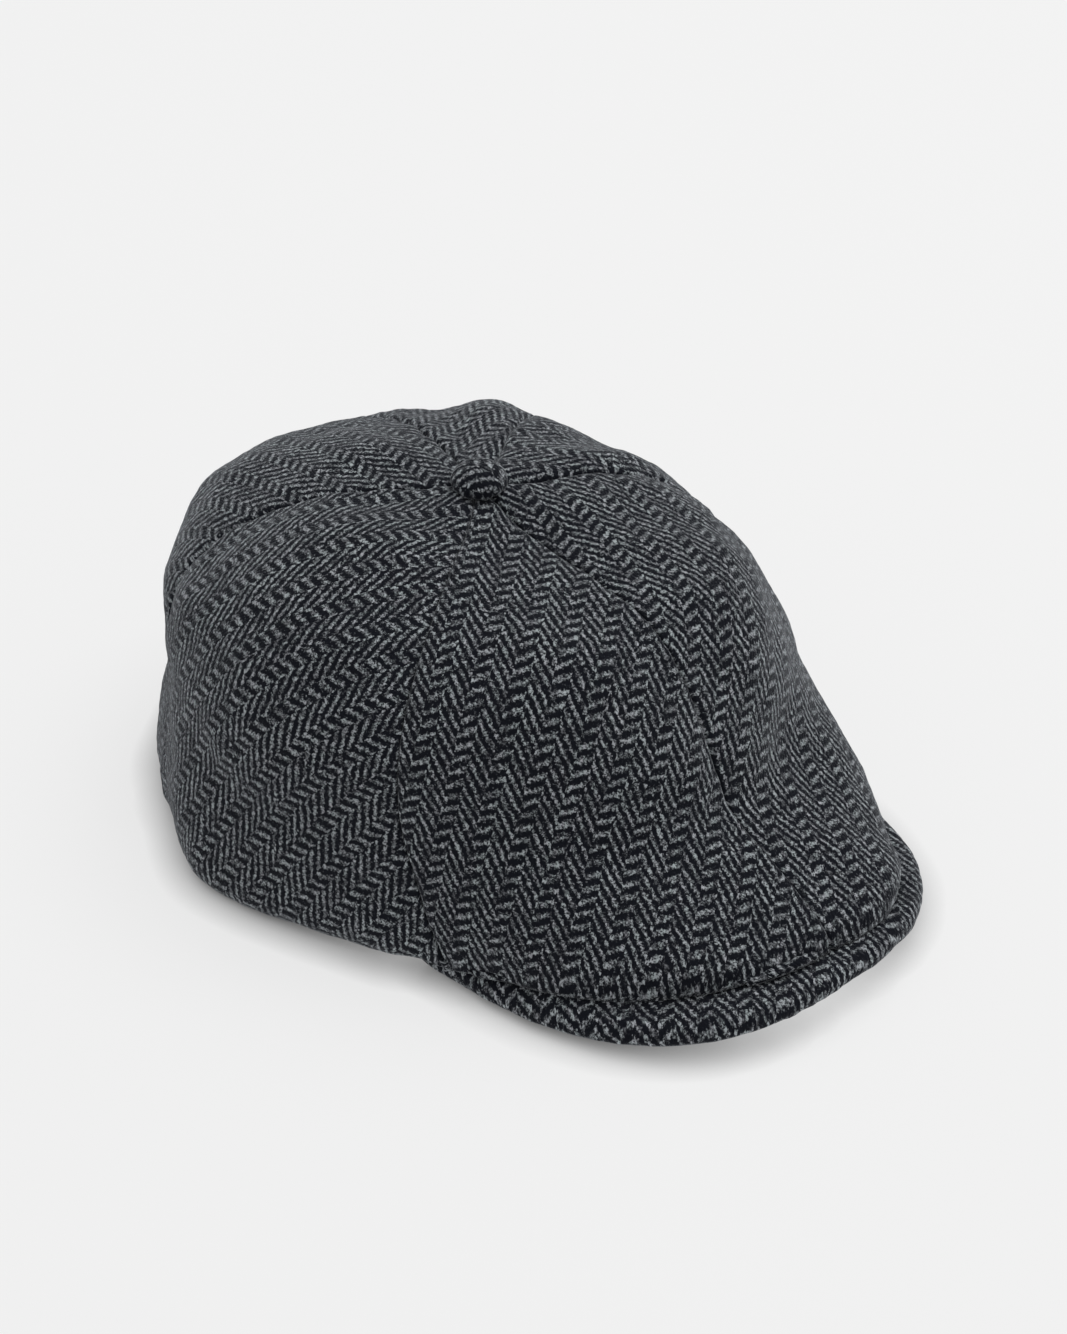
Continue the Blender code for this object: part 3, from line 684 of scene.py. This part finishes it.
def visor_columns():
    """Places along the visor, evenly spaced along its free edge."""
    fine = np.linspace(0, 1, EDGE_SAMPLES)
    lengths = line_lengths(visor_edge(fine, 0))
    return np.interp(np.linspace(0, lengths[-1], VISOR_COLUMNS), lengths, fine)


def nose(angles):
    """Insets and drops round the visor's rounded edge, from 0 degrees on top to 180 underneath."""
    angles = np.radians(angles)
    return NOSE * (1 - np.sin(angles)), NOSE * (1 - np.cos(angles))


def visor_layer(shares, drops, nose_angles, seam_insets, seam_drops):
    """Rows of points of a visor cloth: over the flat of the board, round its nose and into the seam."""
    nose_insets, nose_drops = nose(nose_angles)
    shares = np.concatenate((shares, np.ones(len(nose_angles) + len(seam_insets))))
    insets = np.concatenate((np.full(VISOR_ROWS, NOSE), nose_insets, nose_insets[-1] + seam_insets))
    drops = np.concatenate((drops, nose_drops, nose_drops[-1] + seam_drops))
    u = visor_columns()
    root = visor_root(u)
    rows = []
    for share, inset, drop in zip(shares, insets, drops):
        plan = root + (visor_edge(u, inset) - root) * share
        rows.append(np.column_stack((plan, visor_height(plan[:, 0], plan[:, 1]) - drop)))
    return np.array(rows)


def visor_cut(points):
    """The cut of a visor cloth: its plan up to the nose, then straight on outwards round the nose."""
    plan = points[:VISOR_ROWS, :, :2]
    tangent = np.gradient(plan[-1], axis=0)
    outwards = unit(np.stack((tangent[:, 1], -tangent[:, 0]), axis=-1))
    outwards *= np.sign(np.sum(outwards * (plan[-1] - plan[0]), axis=-1, keepdims=True))
    steps = np.linalg.norm(np.diff(points[VISOR_ROWS - 1 :], axis=0), axis=-1)
    beyond = plan[-1] + outwards * np.cumsum(steps, axis=0)[..., None]
    return -np.concatenate((plan, beyond))


def make_visor_cloth(side, points, noises, thickness, material):
    """Uneven cloth stretched over the top or the underside of the visor's board."""
    points = points + grid_normals(points) * unevenness(points, noises)[..., None]
    cut = visor_cut(points)
    weave = turned(cut, VISOR_GRAIN)
    piece = grid_piece("visor_" + side + "_cloth", points + HEAD_PLACE, weave, material, thickness)
    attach(piece, "visor")
    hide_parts("visor_" + side + "_cover")


def make_visor_top(material):
    """The upper cloth, which goes over the board and round its edge to the seam on the rim."""
    shares = np.linspace(0, 1, VISOR_ROWS)
    around = np.linspace(0, NOSE_SEAM, NOSE_STEPS)[1:]
    points = visor_layer(shares, np.zeros(VISOR_ROWS), around, TOP_SEAM_INSETS, TOP_SEAM_DROPS)
    make_visor_cloth("top", points, TOP_NOISES, TOP_CLOTH, material)


def make_visor_under(material):
    """The lower cloth, which comes round the edge from below to meet the upper one."""
    shares = np.linspace(0, 1, VISOR_ROWS)
    shares[:2] = UNDER_LIP_SHARE
    drops = np.full(VISOR_ROWS, VISOR_THICKNESS)
    drops[0] = NOSE
    around = np.linspace(180, NOSE_SEAM + NOSE_OVERLAP, NOSE_STEPS)[1:]
    points = visor_layer(shares, drops, around, UNDER_SEAM_INSETS, UNDER_SEAM_DROPS)
    # The columns run the other way, so that the outer face looks down.
    make_visor_cloth("under", points[:, ::-1], UNDER_NOISES, UNDER_CLOTH, material)


def make_visor_seam(material):
    """The strip of cloth in the seam between crown and visor."""
    u = np.linspace(STRIP_END, 1 - STRIP_END, STRIP_COLUMNS)
    ahead = np.cos(np.radians(VISOR_ROOT_HALF_ANGLE) * (1 - 2 * u))
    plan = visor_root(u)
    hem = HEM_LOW + HEM_RISE * ahead**FRONT_RISE + STRIP_ABOVE_HEM
    foot = visor_height(plan[:, 0], plan[:, 1]) - NOSE - STRIP_BELOW_NOSE
    rows = []
    for share in np.linspace(0, 1, STRIP_ROWS):
        back = STRIP_LEAN * (1 - share) + STRIP_BULGE * math.sin(math.pi * share)
        rows.append(np.column_stack((plan * (1 - back / VISOR_ROOT_FRONT), hem + (foot - hem) * share)))
    points = np.array(rows)
    steps = np.linalg.norm(np.diff(points, axis=0), axis=-1)
    down = np.concatenate((np.zeros((1, STRIP_COLUMNS)), np.cumsum(steps, axis=0)))
    cut = np.stack((row_lengths(points), down), axis=-1)
    points = points + HEAD_PLACE
    piece = grid_piece("visor_seam_cloth", points, cut, material, STRIP_CLOTH)
    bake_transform(piece)


# ---------- button

BUTTON_RADIUS = (BUTTON_HIGH.x - BUTTON_LOW.x) / 2
BUTTON_HEIGHT = 5.3 * MM
BUTTON_UNDERSIDE = 1.2 * MM
BUTTON_MIDDLE = (BUTTON_LOW + BUTTON_HIGH) / 2
BUTTON_BASE = np.array((BUTTON_MIDDLE.x, BUTTON_MIDDLE.y, BUTTON_HIGH.z - BUTTON_HEIGHT))
# Powers that make the dome and the underside fuller than a ball, and the hole left underneath.
DOME_FULLNESS = 0.86
UNDERSIDE_FULLNESS = 0.30
BUTTON_HOLE_RADIUS = 5.4 * MM
BUTTON_CLOTH = 1.2 * MM
BUTTON_GRID = 61
BUTTON_BENDS = 40
# Gathers of the cloth round the edge, with their spacing shifted to and fro.
GATHERS = 13
GATHER_SHIFT = 1.5
GATHER_SHIFTS = 3
GATHER_DEPTH = 0.154 * MM
GATHER_REACH = (0.35, 0.8)
BUTTON_NOISE = ((0.15 * MM, 5 * MM, 3),)
BUTTON_NOISE_RADIUS = 8 * MM
BUTTON_TURN = -20
BUTTON_BAND_SHIFT = 8.6 * MM


def button_profile():
    """Lengths along, radii and heights of a line over the dome, round the edge and back underneath."""
    bends = np.radians(np.linspace(90, -90, BUTTON_BENDS))
    heights = np.where(bends > 0, BUTTON_HEIGHT, BUTTON_UNDERSIDE) * np.sin(bends)
    radii = BUTTON_RADIUS * np.cos(bends) ** np.where(bends > 0, DOME_FULLNESS, UNDERSIDE_FULLNESS)
    radii = np.where(bends < 0, np.maximum(radii, BUTTON_HOLE_RADIUS), radii)
    return line_lengths(np.column_stack((radii, heights))), radii, heights


def make_button_cloth(material):
    """A square of cloth gathered over the metal dome and tucked in below."""
    line = np.linspace(-1, 1, BUTTON_GRID)
    x, y = np.meshgrid(line, line)
    disc_x = x * np.sqrt(1 - y**2 / 2)
    disc_y = y * np.sqrt(1 - x**2 / 2)
    reach = np.hypot(disc_x, disc_y)
    around = np.arctan2(disc_y, disc_x)
    lengths, radii, heights = button_profile()
    travelled = reach * lengths[-1]
    gathers = np.cos(GATHERS * around + GATHER_SHIFT * np.sin(GATHER_SHIFTS * around))
    radius = np.interp(travelled, lengths, radii) + GATHER_DEPTH * smooth(*GATHER_REACH, reach) * gathers
    disc = np.stack((disc_x, disc_y, 0 * x), axis=-1) * BUTTON_NOISE_RADIUS
    height = np.interp(travelled, lengths, heights) + unevenness(disc, BUTTON_NOISE)
    points = np.stack((radius * np.cos(around), radius * np.sin(around), height), axis=-1)[:, ::-1]
    flat = np.stack((travelled * np.cos(around), travelled * np.sin(around)), axis=-1)[:, ::-1]
    cut = turned(flat, BUTTON_TURN) + np.array((BUTTON_BAND_SHIFT, 0))
    piece = grid_piece("button_cloth", points + BUTTON_BASE, cut, material, BUTTON_CLOTH)
    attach(piece, "cap")
    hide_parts("button_cover")


# ---------- materials


class NodeSet:
    """Short ways to add and join the nodes of one material."""

    def __init__(self, name):
        self.material = bpy.data.materials.new(name)
        self.material.use_nodes = True
        self.tree = self.material.node_tree
        self.shader = self.tree.nodes["Principled BSDF"]

    def put(self, value, socket):
        """Links a socket to a node's output, or sets it to a value."""
        if isinstance(value, bpy.types.NodeSocket):
            self.tree.links.new(value, socket)
        else:
            socket.default_value = value

    def look(self, name, value):
        """Sets one input of the material's shader."""
        self.put(value, self.shader.inputs[name])

    def node(self, kind, inputs, **settings):
        """A new node with its settings, and with its inputs given by name or number."""
        node = self.tree.nodes.new("ShaderNode" + kind)
        for name, value in settings.items():
            setattr(node, name, value)
        for name, value in inputs.items():
            self.put(value, node.inputs[name])
        return node

    def surface(self, colour, roughness, sheen=0.0):
        self.look("Base Color", colour)
        self.look("Roughness", roughness)
        self.look("Sheen Weight", sheen)

    def math(self, operation, *values, clamp=False):
        return self.node("Math", dict(enumerate(values)), operation=operation, use_clamp=clamp).outputs[0]

    def add(self, first, second):
        return self.math("ADD", first, second)

    def times(self, first, second):
        return self.math("MULTIPLY", first, second)

    def scaled(self, value, factor, base):
        """The value times a factor, plus a base."""
        return self.math("MULTIPLY_ADD", value, factor, base)

    def swing(self, value, amount, base):
        """A value from 0 to 1 taken as a swing either way from a base."""
        return self.scaled(self.math("SUBTRACT", value, 0.5), amount, base)

    def whole(self, value):
        return self.math("FLOOR", value)

    def wave(self, value, period=1):
        return self.math("SINE", self.times(value, 2 * math.pi / period))

    def noise(self, vector, scale, detail=2.0, roughness=0.5):
        inputs = {"Vector": vector, "Scale": scale, "Detail": detail, "Roughness": roughness}
        return self.node("TexNoise", inputs).outputs["Fac"]

    def combine(self, x, y, z):
        return self.node("CombineXYZ", {0: x, 1: y, 2: z}).outputs[0]

    def chance(self, x, y, seed):
        """A random number from 0 to 1 for each whole-numbered place."""
        return self.node("TexWhiteNoise", {"Vector": self.combine(x, y, seed)}).outputs["Value"]

    def step(self, value, low, high):
        """0 below low, 1 above high, smooth between."""
        inputs = {"Value": value, "From Min": low, "From Max": high}
        return self.node("MapRange", inputs, interpolation_type="SMOOTHSTEP").outputs["Result"]

    def mix(self, share, first, second):
        """A colour between two others."""
        return self.node("Mix", {0: share, 6: first, 7: second}, data_type="RGBA").outputs[2]

    def millimetres(self, vector):
        """A vector in metres turned into millimetres."""
        return self.node("VectorMath", {0: vector, "Scale": 1 / MM}, operation="SCALE").outputs[0]

    def flat_place(self):
        """The map 'weave' in millimetres, as its two numbers and as a vector."""
        flat = self.millimetres(self.node("UVMap", {}, uv_map="weave").outputs[0])
        x, y, _ = self.node("SeparateXYZ", {0: flat}).outputs
        return x, y, flat

    def object_place(self):
        """The place on the object in millimetres."""
        return self.millimetres(self.node("TexCoord", {}).outputs["Object"])

    def bump(self, height, distance, strength):
        inputs = {"Height": height, "Distance": distance, "Strength": strength}
        self.look("Normal", self.node("Bump", inputs).outputs[0])


# Yarns of the weave in millimetres: the bands lie in pairs, of a wider and a narrower one.
END_PITCH = 1.21
PICK_PITCH = 1.125
ENDS_IN_PAIR = 10.0
ENDS_IN_WIDE_BAND = 5.6
PICKS_IN_RIB = 4.0
SKEW = 0.371
BREAK = 1.3
# Where a rib is in steps from yarn to yarn and where it runs smoothly, in shares.
STEPPED = 0.4
SMOOTH = 0.6
# The way along a rib leans one way in wide bands and the other in narrow ones: shares of x and y.
WIDE_LEAN = (-0.61, 0.79)
NARROW_LEAN = (0.87, 0.49)
# Yarns wander slowly and quickly: scale of the noise and its reach in millimetres.
SLOW_WANDER = (0.10, 1.3)
QUICK_WANDER_ACROSS = (0.6, 1.15)
QUICK_WANDER_ALONG = (0.6, 1.2)
WANDER_SHIFT = (17.0, 31.0)
BLUE_WOOL = (0.455, 0.462, 0.500, 1)
GREY_WOOL = (0.412, 0.440, 0.468, 1)
GREEN_WOOL = (0.37, 0.45, 0.44, 1)
BLACK_WOOL = (0.001, 0.0012, 0.003, 1)
BLACK_FUZZ = (0.010, 0.012, 0.018, 1)


def wander(n, flat, scale, reach, seed):
    """How far a yarn lies from its straight course."""
    shift = (seed * WANDER_SHIFT[0], seed * WANDER_SHIFT[1], 0)
    moved = n.node("VectorMath", {0: flat, 1: shift}, operation="ADD").outputs[0]
    return n.times(n.math("SUBTRACT", n.noise(moved, scale), 0.5), reach)


def tweed_material():
    """Grey herringbone: bands of slanting ribs of light yarn on dark, broken up by fuzz and odd yarns."""
    n = NodeSet("herringbone_tweed")
    x, y, flat = n.flat_place()
    x = n.add(x, n.add(wander(n, flat, *SLOW_WANDER, seed=1), wander(n, flat, *QUICK_WANDER_ACROSS, seed=2)))
    y = n.add(y, n.add(wander(n, flat, *SLOW_WANDER, seed=3), wander(n, flat, *QUICK_WANDER_ALONG, seed=4)))
    ends = n.math("DIVIDE", x, END_PITCH)
    end = n.whole(ends)
    picks = n.math("DIVIDE", n.scaled(x, SKEW, y), PICK_PITCH)
    pair = n.whole(n.math("DIVIDE", ends, ENDS_IN_PAIR))
    local = n.math("SUBTRACT", ends, n.times(pair, ENDS_IN_PAIR))
    narrow = n.math("GREATER_THAN", local, ENDS_IN_WIDE_BAND)
    wide = n.math("SUBTRACT", 1, narrow)
    yarn_middle = n.add(n.whole(local), 0.5)
    local = n.add(n.times(local, SMOOTH), n.times(yarn_middle, STEPPED))
    mirrored = n.math("SUBTRACT", 2 * ENDS_IN_WIDE_BAND + BREAK, local)
    climb = n.add(n.times(local, wide), n.times(mirrored, narrow))
    phase = n.math("DIVIDE", n.add(picks, climb), PICKS_IN_RIB)

    along_wide, along_narrow = (n.scaled(x, a, n.times(y, b)) for a, b in (WIDE_LEAN, NARROW_LEAN))
    along = n.add(n.times(along_wide, wide), n.times(along_narrow, narrow))
    rib_place = n.combine(n.times(along, 0.62), n.times(phase, 2.6), pair)
    streak = n.noise(rib_place, scale=1.0, roughness=0.6)
    fuzz = n.noise(flat, scale=1.0, detail=3.0, roughness=0.7)
    fibre = n.noise(flat, scale=1.5, roughness=0.6)
    rough_wave = n.swing(fuzz, amount=6.0, base=n.swing(streak, amount=4.4, base=n.wave(phase)))
    light = n.step(rough_wave, low=-0.35, high=1.95)

    end_tone = n.chance(end, 0.0, seed=3.0)
    float_tone = n.chance(end, n.whole(phase), seed=5.0)
    tone = n.swing(n.add(n.times(end_tone, 0.3), n.times(float_tone, 0.7)), amount=1.7, base=1.1)
    tone = n.times(tone, n.scaled(n.noise(flat, scale=0.05), factor=0.5, base=0.75))
    speck = n.scaled(fibre, factor=5.5, base=-2.0)
    light_amount = n.times(n.times(light, tone), speck)

    wool = n.mix(n.chance(n.whole(picks), 0.0, seed=9.0), BLUE_WOOL, GREY_WOOL)
    wool = n.mix(n.times(end_tone, 0.45), wool, GREEN_WOOL)
    wool = n.mix(light_amount, n.mix(fuzz, BLACK_WOOL, BLACK_FUZZ), wool)
    n.surface(wool, roughness=0.95, sheen=0.34)
    n.look("Specular IOR Level", 0.12)
    n.look("Sheen Roughness", 0.3)
    n.look("Sheen Tint", (0.9, 0.94, 1.0, 1))
    height = n.add(n.add(n.times(light, 0.6), n.times(n.wave(ends), 0.08)), n.times(fibre, 0.5))
    n.bump(height, distance=0.6 * MM, strength=0.9)
    return n.material


SATIN_COLOUR = (0.022, 0.022, 0.025)
SATIN_THREAD = 0.36


def satin_material():
    """Fine black plain weave with a soft sheen."""
    n = NodeSet("black_satin")
    x, y, flat = n.flat_place()
    weave = n.times(n.wave(x, SATIN_THREAD), n.wave(y, SATIN_THREAD))
    slub = n.noise(flat, scale=0.8, detail=3.0, roughness=0.6)
    tone = n.add(n.times(weave, 0.12), n.times(slub, 0.9))
    darker, lighter = (tuple(share * value for value in SATIN_COLOUR) + (1,) for share in (0.55, 1.35))
    n.surface(n.mix(tone, darker, lighter), n.scaled(slub, factor=0.25, base=0.30), sheen=0.25)
    n.look("Sheen Roughness", 0.35)
    n.bump(n.add(weave, n.times(slub, 0.7)), distance=0.08 * MM, strength=0.5)
    return n.material


RIB_PITCH = 0.9
RIB_THREAD = 0.35


def ribbed_material():
    """Black grosgrain: fine ribs that run up the tape."""
    n = NodeSet("black_grosgrain")
    x, y, flat = n.flat_place()
    rib = n.wave(x, RIB_PITCH)
    thread = n.wave(y, RIB_THREAD)
    wear = n.noise(flat, scale=0.15, detail=4.0, roughness=0.6)
    lint = n.noise(flat, scale=3.0, detail=3.0, roughness=0.7)
    tone = n.add(n.times(rib, 0.25), n.add(n.times(wear, 0.6), 0.1))
    tone = n.math("ADD", tone, n.times(lint, 0.2), clamp=True)
    black = n.mix(tone, (0.007, 0.007, 0.008, 1), (0.035, 0.035, 0.038, 1))
    n.surface(black, n.scaled(wear, factor=-0.25, base=0.85), sheen=0.3)
    n.bump(n.add(rib, n.times(thread, 0.3)), distance=0.15 * MM, strength=0.8)
    return n.material


LABEL_THREAD = 0.4
LABEL_MIDDLE = LABEL_HEIGHT / MM / 2
BORDER_START = (4.9, 5.1)
BORDER_STOP = (5.5, 5.7)


def label_material():
    """Blank woven label: off-white, with a woven border."""
    n = NodeSet("woven_label")
    x, y, flat = n.flat_place()
    weave = n.wave(y, LABEL_THREAD)
    diagonal = n.wave(n.add(x, y), 2 * LABEL_THREAD)
    from_middle = n.math("ABSOLUTE", n.math("SUBTRACT", y, LABEL_MIDDLE))
    border = n.math("SUBTRACT", n.step(from_middle, *BORDER_START), n.step(from_middle, *BORDER_STOP))
    dust = n.noise(flat, scale=0.4, detail=4.0, roughness=0.6)
    light = n.mix(dust, (0.50, 0.50, 0.47, 1), (0.66, 0.66, 0.63, 1))
    colour = n.mix(border, light, (0.10, 0.10, 0.11, 1))
    n.surface(colour, n.scaled(dust, factor=0.2, base=0.55), sheen=0.2)
    n.bump(n.add(weave, n.times(diagonal, 0.6)), distance=0.06 * MM, strength=0.7)
    return n.material


def thread_material():
    """Black sewing thread, whose tone changes with its twist."""
    n = NodeSet("black_thread")
    place = n.object_place()
    twist = n.noise(place, scale=2.2)
    black = n.mix(twist, (0.012, 0.012, 0.013, 1), (0.05, 0.05, 0.055, 1))
    n.surface(black, roughness=0.6, sheen=0.3)
    n.bump(n.noise(place, scale=5.0), distance=0.05 * MM, strength=0.6)
    return n.material


def board_material():
    """Milky plastic sheet inside the visor, scuffed by the cloth."""
    n = NodeSet("visor_board_plastic")
    place = n.object_place()
    cloud = n.noise(place, scale=0.06, detail=4.0, roughness=0.6)
    scuff = n.noise(place, scale=1.4, detail=5.0, roughness=0.7)
    milky = n.mix(cloud, (0.62, 0.62, 0.58, 1), (0.78, 0.78, 0.75, 1))
    n.surface(milky, n.scaled(scuff, factor=0.35, base=0.3))
    n.bump(scuff, distance=0.05 * MM, strength=0.4)
    return n.material


def steel_material():
    """Nickel-plated steel with fine grain and handling marks."""
    n = NodeSet("plated_steel")
    place = n.object_place()
    marks = n.noise(place, scale=0.9, detail=5.0, roughness=0.7)
    grain = n.noise(place, scale=9.0)
    nickel = n.mix(marks, (0.42, 0.42, 0.44, 1), (0.70, 0.70, 0.71, 1))
    n.surface(nickel, n.scaled(marks, factor=0.35, base=0.12))
    n.look("Metallic", 1.0)
    n.bump(grain, distance=0.03 * MM, strength=0.4)
    return n.material


def paper_material():
    """The floor's pale paper, which glows evenly except where something lies close over it: there ambient
    occlusion darkens the glow into a painted contact shadow.
    """
    n = NodeSet("paper")
    # Painted contact shadow: ambient occlusion darkens the floor's glow where the cap lies close over it.
    painted_contact_shadow = n.node("AmbientOcclusion", {"Distance": 12 * MM})
    n.surface((0.185, 0.185, 0.185, 1), roughness=0.9)
    n.look("Emission Strength", 0.70)
    n.look("Emission Color", painted_contact_shadow.outputs["Color"])
    n.look("Specular IOR Level", 0.1)
    return n.material


# ---------- camera and light

CAMERA_AZIMUTH = -44.3
CAMERA_ELEVATION = 35.5
CAMERA_DISTANCE = 1.3
CAMERA_RANGE = (0.05, 20)
# Picture elements to the millimetre, out of the picture's height in picture elements.
SCALE_IN_FRAME = 2.94
FRAME_HEIGHT = 1334
LOOK_RIGHT = 23 * MM
LOOK_UP = 35.2 * MM
SENSOR = 36.0
KEY_RIGHT = 0.6
KEY_BEHIND = 0.5
KEY_HEIGHT = 2.2
KEY_SIZE = 1.8
KEY_POWER = 32
KEY_TARGET = Vector((0, 0, 0.05))
SKY_COLOUR = (1.0, 1.0, 1.0, 1.0)
SKY_STRENGTH = 0.5
FLOOR_HALF = 4.0


def camera_axes():
    """The camera's directions to the right, up and back."""
    azimuth, elevation = math.radians(CAMERA_AZIMUTH), math.radians(CAMERA_ELEVATION)
    level = math.cos(elevation)
    back = Vector((math.sin(azimuth) * level, -math.cos(azimuth) * level, math.sin(elevation)))
    right = Vector((math.cos(azimuth), math.sin(azimuth), 0))
    return right, right.cross(-back), back


def make_camera():
    right, up, back = camera_axes()
    target = Vector((0, HEAD_Y, 0)) + right * LOOK_RIGHT + up * LOOK_UP
    data = bpy.data.cameras.new("camera")
    data.sensor_fit = "AUTO"
    data.sensor_width = SENSOR
    data.lens = SCALE_IN_FRAME * CAMERA_DISTANCE / MM * SENSOR / FRAME_HEIGHT
    data.clip_start, data.clip_end = CAMERA_RANGE
    camera = add_object("camera", data)
    camera.matrix_world = Matrix((right, up, back)).transposed().to_4x4()
    camera.location = target + back * CAMERA_DISTANCE
    bpy.context.scene.camera = camera


def make_light():
    """One large soft lamp above and a little behind the cap, under an even white sky."""
    right, _, back = camera_axes()
    flat_back = Vector((back.x, back.y, 0)).normalized()
    data = bpy.data.lights.new("key", "AREA")
    data.shape = "SQUARE"
    data.size = KEY_SIZE
    data.energy = KEY_POWER
    lamp = add_object("key", data)
    lamp.location = right * KEY_RIGHT - flat_back * KEY_BEHIND + Vector((0, 0, KEY_HEIGHT))
    lamp.rotation_mode = "QUATERNION"
    lamp.rotation_quaternion = (lamp.location - KEY_TARGET).to_track_quat("Z", "Y")
    world = bpy.data.worlds.new("studio")
    world.use_nodes = True
    background = world.node_tree.nodes["Background"]
    background.inputs["Color"].default_value = SKY_COLOUR
    background.inputs["Strength"].default_value = SKY_STRENGTH
    bpy.context.scene.world = world
    bpy.context.scene.view_settings.view_transform = "Standard"


def make_floor():
    mesh = bpy.data.meshes.new("floor")
    sides = ((-1, -1), (1, -1), (1, 1), (-1, 1))
    corners = [(x * FLOOR_HALF, y * FLOOR_HALF, 0) for x, y in sides]
    mesh.from_pydata(corners, [], [(0, 1, 2, 3)])
    mesh.materials.append(paper_material())
    floor = add_object("floor", mesh)


# ---------- the whole cap

BUTTON_STEEL = ("button_shell", "button_back_plate", "button_washer")
SNAP_STEEL = ("snap_socket", "snap_socket_cap", "snap_stud", "snap_stud_post")


def finish_cad_nodes(names, material):
    """Gives CAD nodes that stay their material."""
    for name in names:
        bpy.data.objects[name].material_slots[0].material = material


tweed = tweed_material()
make_camera()
make_light()
make_floor()
for panel_index in range(len(PANELS)):
    make_crown_panel(panel_index, tweed)
lining = satin_material()
for panel_index in range(len(PANELS)):
    make_lining_panel(panel_index, lining)
make_sweatband(ribbed_material())
make_label(label_material())
make_band_stitches(thread_material())
make_visor_top(tweed)
make_visor_under(tweed)
make_visor_seam(tweed)
make_button_cloth(tweed)
finish_cad_nodes(("visor_board",), board_material())
finish_cad_nodes(BUTTON_STEEL + SNAP_STEEL, steel_material())
